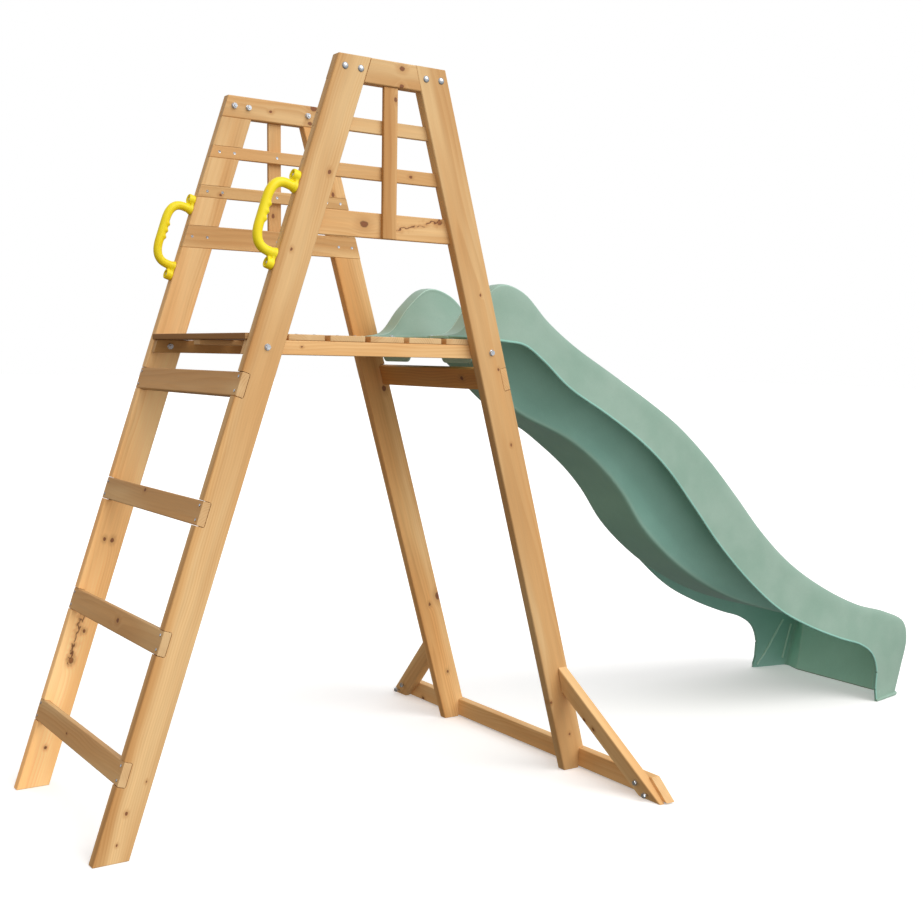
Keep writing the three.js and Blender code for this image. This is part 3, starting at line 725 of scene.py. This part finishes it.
# Stations down the slide: rim top, trough floor and skirt hem, as x and z in mm.
STATIONS = [
    (1026, 1248, 1026, 1246, 1032, 1246), (1084, 1262, 1080, 1247, 1088, 1246),
    (1146, 1336, 1130, 1246, 1146, 1243), (1218, 1392, 1180, 1230, 1226, 1238),
    (1296, 1376, 1240, 1176, 1288, 1229), (1388, 1299, 1310, 1103, 1357, 1186),
    (1495, 1228, 1400, 1038, 1450, 1113), (1643, 1147, 1560, 962, 1598, 1033),
    (1783, 1070, 1700, 866, 1740, 946), (1904, 996, 1790, 781, 1840, 866),
    (2035, 892, 1880, 669, 1957, 743), (2165, 768, 2000, 566, 2075, 614),
    (2290, 641, 2140, 478, 2210, 490), (2430, 527, 2310, 400, 2360, 380),
    (2600, 430, 2500, 342, 2513, 307), (2780, 355, 2700, 296, 2660, 253),
    (2935, 315, 2860, 268, 2775, 217), (3043, 268, 2964, 250, 2837, 177),
    (3066, 203, 3010, 200, 2866, 122), (3045, 105, 3008, 105, 2868, 60),
    (3017, 0, 2995, 4, 2866, 0),
]


def through(points, steps):
    """A centripetal Catmull-Rom curve through points, sampled steps times in each span."""
    first = points[0] * 2 - points[1]
    last = points[-1] * 2 - points[-2]
    padded = [first, *points, last]
    samples = []
    for index in range(len(points) - 1):
        p0, p1, p2, p3 = padded[index:index + 4]
        t0 = max((p1 - p0).length, 1e-6) ** 0.5
        t1 = max((p2 - p1).length, 1e-6) ** 0.5
        t2 = max((p3 - p2).length, 1e-6) ** 0.5
        start = ((p1 - p0) / t0 - (p2 - p0) / (t0 + t1) + (p2 - p1) / t1) * t1
        end = ((p2 - p1) / t1 - (p3 - p1) / (t1 + t2) + (p3 - p2) / t2) * t1
        for step in range(steps):
            t = step / steps
            samples.append(
                p1 * (2 * t ** 3 - 3 * t ** 2 + 1) + start * (t ** 3 - 2 * t ** 2 + t)
                + p2 * (3 * t ** 2 - 2 * t ** 3) + end * (t ** 3 - t ** 2)
            )
    samples.append(points[-1])
    return samples


def slide_widths(x):
    """Half-widths at x: outside of the rim, inside of the rim, and the floor."""
    outer = blend(*RIM_HALF, smooth(x, 1200, 2950))
    floor = blend(FLOOR_HALF["lip"], FLOOR_HALF["neck"], smooth(x, 1080, 1300))
    floor = blend(floor, FLOOR_HALF["middle"], smooth(x, 1380, 1640))
    floor = blend(floor, FLOOR_HALF["exit"], smooth(x, 2200, 2980))
    rim = blend(HUMP_RIM_WIDTH, RIM_WIDTH, smooth(x, 1240, 1500))
    return outer, outer - rim, floor


def half_section(rim, floor, hem):
    """From the middle of the floor up the wall, over the rim and down the skirt."""
    outer, inner, floor_half = slide_widths(floor.x)

    def trough(rise, y):
        point = floor.lerp(rim, rise)
        return Vector((point.x, y, point.z))

    def wall(rise, spread):
        return trough(rise, blend(floor_half, inner, spread))

    def skirt(drop):
        point = rim.lerp(hem, drop)
        kick = FOOT_KICK * (1.0 - smooth(point.z, 0.0, 55.0))
        return Vector((point.x, outer + (SKIRT_FLARE + kick) * drop, point.z))

    crisp = 1.0 - smooth(floor.x, 1180, 1420)
    rim_width = outer - inner
    return [
        trough(0.0, 0.0), trough(0.0, floor_half * 0.5), trough(0.003, floor_half * 0.95),
        wall(0.035, 0.015), wall(0.2, 0.18), wall(0.5, 0.55),
        wall(blend(0.82, 0.93, crisp), blend(0.88, 0.96, crisp)),
        wall(blend(0.95, 0.985, crisp), blend(1.0, 0.995, crisp)),
        trough(1.0, inner + rim_width * blend(0.3, 0.10, crisp)),
        trough(1.0, outer - rim_width * blend(0.25, 0.08, crisp)),
        skirt(blend(0.07, 0.03, crisp)), skirt(0.5), skirt(1.0),
    ]


def slide_rows():
    curves = []
    for index in (0, 2, 4):
        points = [Vector((station[index], 0.0, station[index + 1])) for station in STATIONS]
        curves.append(through(points, ROWS_PER_STATION))
    rows = []
    for rim, floor, hem in zip(*curves):
        half = half_section(rim, floor, hem)
        mirrored = [Vector((p.x, -p.y, p.z)) for p in reversed(half[1:])]
        rows.append(through(mirrored + half, COLUMNS_PER_POINT))
    return rows


def grid_mesh(name, rows):
    """A mesh over rows of points, given in mm from the ladder's foot."""
    width = len(rows[0])
    points = [place(*point) for row in rows for point in row]
    faces = []
    for i in range(len(rows) - 1):
        for j in range(width - 1):
            a, b = i * width + j, i * width + j + 1
            faces.append((a, a + width, b + width, b))
    mesh = bpy.data.meshes.new(name)
    mesh.from_pydata(points, [], faces)
    return mesh


def painted_highlight_marks(rows):
    """How much painted highlight each point gets: the rim's inner corner at the hump, the floor's corner
    faintly.
    """
    middle = len(rows[0]) // 2
    marks = []
    for row in rows:
        hump = 1.0 - smooth(row[middle].x, 1290.0, 1400.0)
        for column in range(len(row)):
            away = abs(column - middle) / COLUMNS_PER_POINT
            rim = max(0.0, 1.0 - abs(away - HIGHLIGHT_RIM) / 0.6) * hump
            band = 0.30 * hump if HIGHLIGHT_RIM < away < HIGHLIGHT_RIM + 2.5 else 0.0
            corner = max(0.0, 1.0 - abs(away - HIGHLIGHT_CORNER) / 0.6) * 0.35
            marks.append(max(rim, band, corner))
    return marks


def build_slide():
    rows = slide_rows()
    mesh = grid_mesh("slide_shell", rows)
    outside = len(mesh.polygons)
    # Painted highlights along the rim's inner corner at the hump and along the floor's corner.
    write_attribute(mesh, "painted_highlight", painted_highlight_marks(rows), "FLOAT", "POINT", "value")
    piece = new_object("slide_shell", mesh)
    solid = piece.modifiers.new("wall", "SOLIDIFY")
    solid.thickness = WALL * MM
    solid.offset = -1.0
    solid.use_even_offset = True
    mesh = apply_modifiers(piece)
    for vertex in mesh.vertices:
        vertex.co.z = max(vertex.co.z, 0.0)
    # Painted shade and light: the inner shell takes the shaded green, brightened most inside the nose.
    painted_shade_side = [0.0] * outside
    for polygon in mesh.polygons[outside:]:
        nose = smooth(polygon.center.x / MM + FOOT_X, 2880.0, 2960.0)
        nose *= 1.0 - smooth(abs(polygon.center.y) / MM, 225.0, 262.0)
        painted_shade_side.append(SHADE_SIDE_PAINT["under"] + SHADE_SIDE_PAINT["nose"] * nose)
    write_attribute(mesh, "painted_shade_side", painted_shade_side, "FLOAT", "FACE", "value")
    finish_piece(piece, "slide_plastic", ["slide"], sharp=50.0)
    return rows


def skin(bm, rings):
    """Joins rings of vertices into one closed body with an end face on the first and the last."""
    for first, second in zip(rings, rings[1:]):
        for step in range(len(first)):
            after = (step + 1) % len(first)
            bm.faces.new((first[step], first[after], second[after], second[step]))
    bm.faces.new(rings[0])
    bm.faces.new(rings[-1])


def tube(bm, points, radius, sides=10):
    """A round bead along points given in mm from the ladder's foot."""
    rings = []
    for index, point in enumerate(points):
        run = (points[min(index + 1, len(points) - 1)] - points[max(index - 1, 0)]).normalized()
        side = run.cross(Vector((0.0, 0.0, 1.0)))
        side = side.normalized() if side.length > 0.1 else Vector((0.0, 1.0, 0.0))
        up = side.cross(run)
        rings.append([
            bm.verts.new(place(*(point + (side * math.cos(a) + up * math.sin(a)) * radius)))
            for a in (2 * math.pi * step / sides for step in range(sides))
        ])
    skin(bm, rings)


def foot_flange(bm, edge):
    """A narrow lip turned outward along the edge on which the slide's nose and feet stand."""
    rings = []
    for index, point in enumerate(edge):
        run = edge[min(index + 1, len(edge) - 1)] - edge[max(index - 1, 0)]
        outward = Vector((run.y, -run.x, 0.0)).normalized()
        base = Vector((point.x, point.y, 0.0))
        taper = min(1.0, 0.55 + 0.225 * min(index, len(edge) - 1 - index))
        outline = [base + outward * out * taper + Vector((0, 0, up * taper)) for out, up in FLANGE]
        rings.append([bm.verts.new(place(*corner)) for corner in outline])
    skin(bm, rings)


def skirt_ribs(bm, rows):
    """Stiffening ribs run up the inside of each skirt above the foot."""
    skirt = [point for row in rows for point in row[-2 * COLUMNS_PER_POINT:]]
    for sign in (-1.0, 1.0):
        for low, high in RIBS:
            points = []
            for step in range(RIB_STEPS + 1):
                x, z = (blend(first, second, step / RIB_STEPS) for first, second in zip(low, high))
                near = min(skirt, key=lambda p: (p.x - x) ** 2 + (p.z - z) ** 2)
                points.append(Vector((x, sign * (near.y - WALL), z)))
            tube(bm, points, RIB_RADIUS)


def hanging_lugs(bm):
    """Two round-cornered tabs hang from the slide's lip behind the deck."""
    low, high, corner = LUG["bottom"], LUG["top"], LUG["corner"]
    for sign in (-1.0, 1.0):
        outline = [(LUG["inner"], high), (LUG["outer"], high)]
        for turn_y, turn in ((LUG["outer"] - corner, 0.0), (LUG["inner"] + corner, math.pi / 2)):
            for step in range(LUG_STEPS + 1):
                angle = turn + math.pi / 2 * step / LUG_STEPS
                y = turn_y + corner * math.cos(angle)
                outline.append((y, low + corner - corner * math.sin(angle)))
        faces = (LUG["x"], LUG["x"] + WALL)
        skin(bm, [[bm.verts.new(place(x, sign * y, z)) for y, z in outline] for x in faces])


slide_grid = build_slide()


# ---------------------------------------------------------------- turned and moulded parts
def turned(bm, profile, sides, matrix):
    """Turns [radius, height] pairs round Z, closed at both ends."""
    rings = []
    for radius, height in profile:
        if radius < 1e-6:
            rings.append([bm.verts.new(matrix @ Vector((0.0, 0.0, height)))])
            continue
        ring = []
        for index in range(sides):
            angle = 2 * math.pi * (index + 0.5) / sides
            corner = Vector((radius * math.cos(angle), radius * math.sin(angle), height))
            ring.append(bm.verts.new(matrix @ corner))
        rings.append(ring)
    for lower, upper in zip(rings, rings[1:]):
        for index in range(sides):
            following = (index + 1) % sides
            round_face = (lower, index), (lower, following), (upper, following), (upper, index)
            corners = [ring[step % len(ring)] for ring, step in round_face]
            unique = list(dict.fromkeys(corners))
            if len(unique) > 2:
                bm.faces.new(unique)


def mesh_piece(name, bm, slot, nodes=(), sharp=35.0):
    bmesh.ops.recalc_face_normals(bm, faces=bm.faces)
    return finish_piece(object_from(name, bm), slot, nodes, sharp)


def facing(place_at, outward, spin=0.0):
    """Millimetres with Z pointing outward, to the row frame."""
    turn = outward.to_track_quat("Z", "Y").to_matrix().to_4x4()
    return Matrix.Translation(place_at) @ turn @ Matrix.Rotation(spin, 4, "Z") @ Matrix.Scale(MM, 4)


DOME = [(0, 4.8), (2.4, 4.6), (4.8, 3.9), (6.8, 2.8), (8.2, 1.4), (8.8, 0.3), (8.7, 0.0), (0, 0.0)]
WASHER = [(0, 1.5), (7.6, 1.5), (8.1, 1.1), (8.1, 0.0), (0, 0.0)]
HEAD_HEIGHT = {"dome": 4.8, "hex": 5.5}
HEX_HEAD = (7.4, 1.3, 5.5)  # radius, base and top
NUT = (7.6, 1.3, 7.3)
SHANK_RADIUS = 4.0
THREAD_SHOWS = (7.0, 9.6)  # from the nut's inside to the bolt's tip
THREAD_PITCH = 1.0
BOLT_LENGTH = {"top": 30.0, "deck": 50.0, "brace": 58.0}
ROUND = {"head": 32, "shank": 20}  # sides of a turned part


def hex_head(bm, matrix, radius, base, top):
    """A hexagon whose top corners are turned off, as on a real bolt head or nut."""
    steps = [(radius, base), (radius, top - 1.2), (radius * 0.93, top), (0, top)]
    turned(bm, [(0, base), *steps], 6, matrix)


def threaded_end(bm, matrix, radius, base, top):
    """The bolt's tip past its nut, with a groove for each turn of thread."""
    profile = [(0, base)]
    height = base
    while height < top - THREAD_PITCH:
        profile += [(radius, height + 0.2), (radius * 0.86, height + 0.6)]
        height += THREAD_PITCH
    profile += [(radius * 0.8, top), (0, top)]
    turned(bm, profile, ROUND["shank"], matrix)


def bolt(node, outward, head, length, spin=0.0):
    """A bolt whose head is on its CAD node's end nearest to where outward points."""
    low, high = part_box(node)
    middle = (low + high) / 2
    seat = middle.copy()
    axis = max(range(3), key=lambda i: abs(outward[i]))
    head_height = HEAD_HEIGHT[head] * MM
    seat[axis] = (high if outward[axis] > 0 else low)[axis] - outward[axis] * head_height
    bm = bmesh.new()
    front = facing(seat, outward, spin)
    back = facing(seat - outward * length * MM, -outward, spin * 1.7)
    if head == "dome":
        turned(bm, DOME, ROUND["head"], front)
    else:
        turned(bm, WASHER, ROUND["head"], front)
        hex_head(bm, front, *HEX_HEAD)
    shank = [(0, 0.5), (SHANK_RADIUS, 0.5), (SHANK_RADIUS, -length), (0, -length)]
    turned(bm, shank, ROUND["shank"], front)
    turned(bm, WASHER, ROUND["head"], back)
    hex_head(bm, back, *NUT)
    threaded_end(bm, back, SHANK_RADIUS, *THREAD_SHOWS)
    return mesh_piece(node + "_steel", bm, "zinc", [node])


def build_bolts():
    for hand, sign in HANDS:
        outward = Vector((0.0, sign, 0.0))
        front = Vector((-1.0, 0.0, 0.0))
        for index in range(1, 5):
            bolt(f"{hand}_top_bolt_{index}", outward, "dome", BOLT_LENGTH["top"], 0.4 * index)
        for index in range(1, 3):
            bolt(f"{hand}_deck_bolt_{index}", outward, "hex", BOLT_LENGTH["deck"], 0.5 * index)
            bolt(f"{hand}_brace_bolt_{index}", front, "hex", BOLT_LENGTH["brace"], 0.7 * index)


build_bolts()


def build_slide_details():
    """The slide's edges: the foot's lip, the rounded hems, the ribs and the hanging lugs."""
    bm = bmesh.new()
    painted_highlight = []
    painted_shade_side = []

    # Gives each vertex a part adds its painted highlight and its painted shade side value.
    def mark(part):
        added = len(bm.verts) - len(painted_highlight)
        highlight_amount, painted_shade_level = EDGE_LOOK[part]
        painted_highlight.extend([highlight_amount] * added)
        painted_shade_side.extend([painted_shade_level] * added)

    foot_flange(bm, slide_grid[-1])
    mark("flange")
    for column in (0, -1):
        hem = [row[column] for row in slide_grid if row[column].z > HEM_CLEAR]
        tube(bm, hem, HEM_RADIUS)
    mark("hem")
    skirt_ribs(bm, slide_grid)
    hanging_lugs(bm)
    mark("ribs and lugs")
    piece = mesh_piece("slide_edges", bm, "slide_plastic")
    for name, values in (("painted_highlight", painted_highlight), ("painted_shade_side", painted_shade_side)):
        write_attribute(piece.data, name, values, "FLOAT", "POINT", "value")


build_slide_details()


# Countersunk head: share of its radius, and height.
SCREW_HEAD = [(0, 0.5), (0.32, 0.5), (0.9, 0.7), (1.0, 0.2), (0.96, -0.6), (0, -4.0)]
CROSS_ARM = (0.62, 0.12)  # half-length and half-width, as shares of the head's radius
CROSS_HEIGHT = (0.75, 0.35)  # middle and half-height, in mm


def cross_screw(bm, matrix, radius):
    """A countersunk screw head with a cross, almost flush with the face that Z leaves."""
    turned(bm, [(radius * share, height) for share, height in SCREW_HEAD], 24, matrix)
    long, wide = (radius * share for share in CROSS_ARM)
    middle, half = CROSS_HEIGHT
    for angle in (0.0, math.pi / 2):
        arm = matrix @ Matrix.Rotation(angle, 4, "Z")
        corners = [arm @ Vector((sx * long, sy * wide, middle + sz * half))
                   for sx in (-1, 1) for sy in (-1, 1) for sz in (-1, 1)]
        verts = [bm.verts.new(corner) for corner in corners]
        for face in ((0, 1, 3, 2), (4, 6, 7, 5), (0, 4, 5, 1), (2, 3, 7, 6), (0, 2, 6, 4), (1, 5, 7, 3)):
            bm.faces.new([verts[i] for i in face])


# ---------------------------------------------------------------- handles
HANDLE_MIDDLE = 1586.0
HANDLE_REACH = 61.0
HANDLE_GAP = 0.3  # between the stile and the handle
GRIP_RADIUS = 11.8
ROOT_SPAN = 83.0
SHOULDER_SPAN = 30.0
BOSS_SPAN = 109.0
BOSS_PROFILE = [
    (0, 0), (14.2, 0), (14.2, 15.5), (13.6, 17.6), (12.2, 18.6), (10.8, 18.6), (9.6, 17.8),
    (9.2, 16.4), (8.8, 10), (0, 10),
]
ROOT_PROFILE = [(0, 0), (15.5, 0), (14.5, 4), (12.5, 9), (11, 14), (0, 14)]
FOOT_BLOCK = (28.0, 22.0, 8.5)
FOOT_OUT = 12.0  # how far the foot block's middle is beyond the grip's root
FINGER_BUMPS = (-17.0, 1.5, 20.0)
BUMP_WIDTH = 5.4
BUMP_LIFT = 4.6
GRIP_SIDES = 24
MOULD_STEP = 1.5  # voxels in which the handle's parts are joined
HANDLE_SEAT = 11.2
PAN_HEAD = [(0, 0), (6.2, 0), (6.2, 1.0), (5.0, 2.6), (2.5, 3.6), (0, 3.8)]
PAN_CROSS = (3.2, 3.0)  # height and radius of the cross on the pan head


def grip_path():
    """The grip's centre line in the handle's frame: X up the stile, Z out of it."""
    bend = HANDLE_REACH * 0.35
    corner = Vector((ROOT_SPAN, 0.0, HANDLE_REACH))
    points = [Vector((ROOT_SPAN, 0.0, 2.0 + (bend - 2.0) * t / 4)) for t in range(4)]
    start, end = Vector((ROOT_SPAN, 0.0, bend)), Vector((SHOULDER_SPAN, 0.0, HANDLE_REACH))
    for step in range(13):
        t = step / 12
        points.append(start * (1 - t) ** 2 + corner * 2 * t * (1 - t) + end * t ** 2)
    straight = [Vector((SHOULDER_SPAN * (1 - t / 20), 0.0, HANDLE_REACH)) for t in range(1, 40)]
    other = [Vector((-point.x, 0.0, point.z)) for point in reversed(points)]
    return points + straight + other


def handle_mesh():
    """The whole handle in its own frame: grip, roots, feet and bosses as one moulding."""
    bm = bmesh.new()
    path = grip_path()
    rings = []
    for index, point in enumerate(path):
        run = (path[min(index + 1, len(path) - 1)] - path[max(index - 1, 0)]).normalized()
        side = Vector((0.0, 1.0, 0.0))
        up = run.cross(side)
        bump = sum(math.exp(-((point.x - x) / BUMP_WIDTH) ** 2) for x in FINGER_BUMPS)
        inner = 1.0 if point.z > HANDLE_REACH - 6 else 0.0
        ring = []
        for step in range(GRIP_SIDES):
            angle = 2 * math.pi * step / GRIP_SIDES
            out = side * math.cos(angle) + up * math.sin(angle)
            lift = BUMP_LIFT * bump * inner * max(0.0, -out.z) ** 1.2
            ring.append(bm.verts.new(point + out * (GRIP_RADIUS + lift)))
        rings.append(ring)
    skin(bm, rings)
    for end in (-1, 1):
        turned(bm, BOSS_PROFILE, 40, Matrix.Translation((end * BOSS_SPAN, 0, 0)))
        turned(bm, ROOT_PROFILE, 40, Matrix.Translation((end * ROOT_SPAN, 0, 0)))
        foot = bmesh.ops.create_cube(bm, size=1.0)["verts"]
        bmesh.ops.scale(bm, vec=FOOT_BLOCK, verts=foot)
        middle = (end * (ROOT_SPAN + FOOT_OUT), 0.0, FOOT_BLOCK[2] / 2)
        bmesh.ops.translate(bm, vec=middle, verts=foot)
    bmesh.ops.recalc_face_normals(bm, faces=bm.faces)
    piece = object_from("handle_rough", bm)
    remesh = piece.modifiers.new("union", "REMESH")
    remesh.mode = "VOXEL"
    remesh.voxel_size = MOULD_STEP
    softened = piece.modifiers.new("soften", "SMOOTH")
    softened.factor = 0.5
    softened.iterations = 4
    mesh = apply_modifiers(piece)
    bpy.data.objects.remove(piece)
    return mesh


def build_handles():
    shape = handle_mesh()
    for hand, sign in HANDS:
        foot = place(0.0, sign * FRAME_MIDDLE, 0.0)
        foot += STILE_ALONG * HANDLE_MIDDLE * MM
        foot += STILE_OUT * HANDLE_GAP * MM
        side = STILE_OUT.cross(STILE_ALONG)
        turn = Matrix((STILE_ALONG, side, STILE_OUT)).transposed().to_4x4()
        matrix = Matrix.Translation(foot) @ turn @ Matrix.Scale(MM, 4)
        mesh = shape.copy()
        mesh.transform(matrix)
        grip = new_object(f"{hand}_handle_grip", mesh)
        finish_piece(grip, "grip_plastic", [f"{hand}_handle"], sharp=60.0)
        for index, end in enumerate((-1, 1)):
            bm = bmesh.new()
            seat = matrix @ Matrix.Translation((end * BOSS_SPAN, 0.0, HANDLE_SEAT))
            turned(bm, PAN_HEAD, 28, seat)
            rise, radius = PAN_CROSS
            cross_screw(bm, seat @ Matrix.Translation((0.0, 0.0, rise)), radius)
            node = f"{hand}_handle_screw_{index + 1}"
            mesh_piece(f"{node}_steel", bm, "zinc", [node])


build_handles()


# ---------------------------------------------------------------- wood screws
SCREW_RADIUS = {"rung": 3.8, "guard": 4.0, "deck": 3.8}
RUNG_BOTTOM = 196.5  # up the stile's front edge, to the first rung
RUNG_PITCH = 318.3
RUNG_SCREW_RISES = (13.0, 49.0)
RUNG_SCREW_Y = 319.0
GUARD_SCREW_INSETS = (0.030, 0.075)  # metres from a guard board's end
CENTRE_SLAT_X = 790.0
SLIDE_SCREW_HEAD = [(0, 0), (6.6, 0), (6.4, 1.2), (4.8, 2.6), (2.4, 3.2), (0, 3.3)]
SLIDE_SCREW_TALL = 0.0035  # metres


def screw_piece(name, spots, nodes=()):
    """Screw heads flush with the wood: each spot is a place and the way it faces."""
    bm = bmesh.new()
    for index, (spot, outward, radius) in enumerate(spots):
        cross_screw(bm, facing(spot, outward, 0.37 * index), radius)
    mesh_piece(name, bm, "zinc", nodes)


def rung_screws():
    """Two screws through each end of every rung, into the stiles."""
    for index in range(RUNG_COUNT):
        bottom = RUNG_BOTTOM + RUNG_PITCH * index
        spots = []
        for sign in (-1.0, 1.0):
            for rise in RUNG_SCREW_RISES:
                base = place(0.0, sign * RUNG_SCREW_Y, 0.0) + STILE_ALONG * (bottom + rise) * MM
                spots.append((base, STILE_OUT, SCREW_RADIUS["rung"]))
        screw_piece(f"rung_{index + 1}_screws", spots)


def guard_screws(hand, sign):
    """Two screws at each end of every guard slat and board, and one at the centre slat."""
    inward = Vector((0.0, -sign, 0.0))
    spots = []
    near, far = GUARD_SCREW_INSETS
    for name in ("guard_slat_1", "guard_slat_2", "guard_board"):
        low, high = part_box(f"{hand}_{name}")
        z = blend(low.z, high.z, 0.5)
        slat_x = (CENTRE_SLAT_X - FOOT_X) * MM
        for x in (low.x + near, low.x + far, high.x - far, high.x - near, slat_x):
            spots.append((Vector((x, sign * FRAME_INSIDE * MM, z)), inward, SCREW_RADIUS["guard"]))
    screw_piece(f"{hand}_guard_screws", spots)


def slide_screw(node):
    """The domed screw through the slide's lip into the deck."""
    low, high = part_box(node)
    centre = (low + high) / 2
    bm = bmesh.new()
    seat = facing(Vector((centre.x, centre.y, high.z - SLIDE_SCREW_TALL)), Vector((0.0, 0.0, 1.0)))
    turned(bm, SLIDE_SCREW_HEAD, 28, seat)
    mesh_piece(f"{node}_steel", bm, "zinc", [node])


def build_wood_screws():
    rung_screws()
    for hand, sign in HANDS:
        guard_screws(hand, sign)
        slide_screw(f"{hand}_slide_screw")


def build_deck_screws():
    """Two screws at each end of every deck board, over the middle of each rail."""
    spots = []
    upward = Vector((0.0, 0.0, 1.0))
    for hand in ("right", "left"):
        low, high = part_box(f"{hand}_deck_rail")
        rail_y = (low.y + high.y) / 2
        for index in range(1, DECK_BOARD_COUNT + 1):
            low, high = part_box(f"deck_board_{index}")
            for share in (0.25, 0.75):
                spot = Vector((blend(low.x, high.x, share), rail_y, high.z))
                spots.append((spot, upward, SCREW_RADIUS["deck"]))
    screw_piece("deck_screws", spots)


build_wood_screws()
build_deck_screws()


# ---------------------------------------------------------------- floor, light and camera
FLOOR_GLOW = 0.30  # lifts the lit floor to the white of the background
FLOOR_HALF_SIZE = 60.0
FLOOR_STEPS = 30
FLOOR_DROP = 0.0005
DOME_LIGHT = {"below": rgb(0.250, 0.250, 0.240), "above": rgb(0.76, 0.77, 0.79)}
DOME_LADDER_SIDE = rgb(0.74, 0.63, 0.52)  # warmer and dimmer towards -X
FRONT_LIGHT = {"from": (0.20, -0.97, 0.05), "colour": (1.0, 0.985, 0.96), "strength": 0.40}
KEY = {"from": (0.30, -0.72, 0.63), "width": 50.0, "energy": 1.30, "colour": (1.0, 0.985, 0.955)}
SENSOR_WIDTH = 36.0
SIGHT_LIMIT = 200.0


def build_floor():
    bm = bmesh.new()
    bmesh.ops.create_grid(bm, x_segments=FLOOR_STEPS, y_segments=FLOOR_STEPS, size=FLOOR_HALF_SIZE)
    floor = object_from("floor", bm)
    floor.location.z = -FLOOR_DROP
    paint = new_material("floor_paint", floor_paint, Specular_IOR_Level=0.0, Emission_Strength=FLOOR_GLOW)
    floor.data.materials.append(paint)
    floor.visible_diffuse = False
    floor.visible_glossy = False


def build_world():
    """White to the camera; a soft dome, brighter above, for everything it lights."""
    world = bpy.data.worlds.new("studio")
    bpy.context.scene.world = world
    world.use_nodes = True
    graph = Graph(world.node_tree)
    background = next(node for node in graph.nodes if node.type == "BACKGROUND")
    direction = graph.node("ShaderNodeTexCoord").outputs["Generated"]
    east, _, upward = graph.split(direction)
    dome = graph.mix(graph.step(upward, -0.25, 0.40), DOME_LIGHT["below"], DOME_LIGHT["above"])
    dome = graph.scaled(dome, graph.step(upward, -1.0, -0.35, 0.25, 1.0))
    shade = graph.mix(graph.step(east, -0.9, 0.1), DOME_LADDER_SIDE, WHITE)
    dome = graph.mix(1.0, dome, shade, "MULTIPLY")
    compared = {0: direction, 1: FRONT_LIGHT["from"]}
    dot = graph.node("ShaderNodeVectorMath", compared, operation="DOT_PRODUCT")
    nearness = graph.step(dot.outputs["Value"], 0.05, 1.0, 0.0, FRONT_LIGHT["strength"])
    front = graph.scaled(FRONT_LIGHT["colour"], nearness)
    dome = graph.vector("ADD", dome, front)
    seen = graph.node("ShaderNodeLightPath").outputs["Is Camera Ray"]
    graph.feed(background.inputs["Color"], graph.mix(seen, dome, WHITE))


def build_key_light():
    toward = Vector(KEY["from"]).normalized()
    light = bpy.data.lights.new("key", "SUN")
    light.angle = math.radians(KEY["width"])
    light.energy = KEY["energy"]
    light.color = KEY["colour"]
    lamp = new_object("key", light)
    lamp.rotation_euler = toward.to_track_quat("Z", "Y").to_euler()


def build_camera():
    yaw, pitch, roll = (math.radians(CAMERA[key]) for key in ("yaw", "pitch", "roll"))
    level = Vector((math.cos(yaw), math.sin(yaw), 0.0))
    forward = Vector((
        -math.sin(yaw) * math.cos(pitch), math.cos(yaw) * math.cos(pitch), math.sin(pitch),
    ))
    above = level.cross(forward)
    right = level * math.cos(roll) + above * math.sin(roll)
    up = above * math.cos(roll) - level * math.sin(roll)
    data = bpy.data.cameras.new("camera")
    data.sensor_width = SENSOR_WIDTH
    data.lens = CAMERA["lens"]
    data.shift_y = CAMERA["shift_y"]
    data.clip_end = SIGHT_LIMIT
    camera = new_object("camera", data)
    turn = Matrix((right, up, -forward)).transposed().to_4x4()
    camera.matrix_world = Matrix.Translation(CAMERA["place"]) @ turn
    bpy.context.scene.camera = camera


build_floor()
build_world()
build_key_light()
build_camera()
bpy.context.scene.view_settings.view_transform = "Standard"
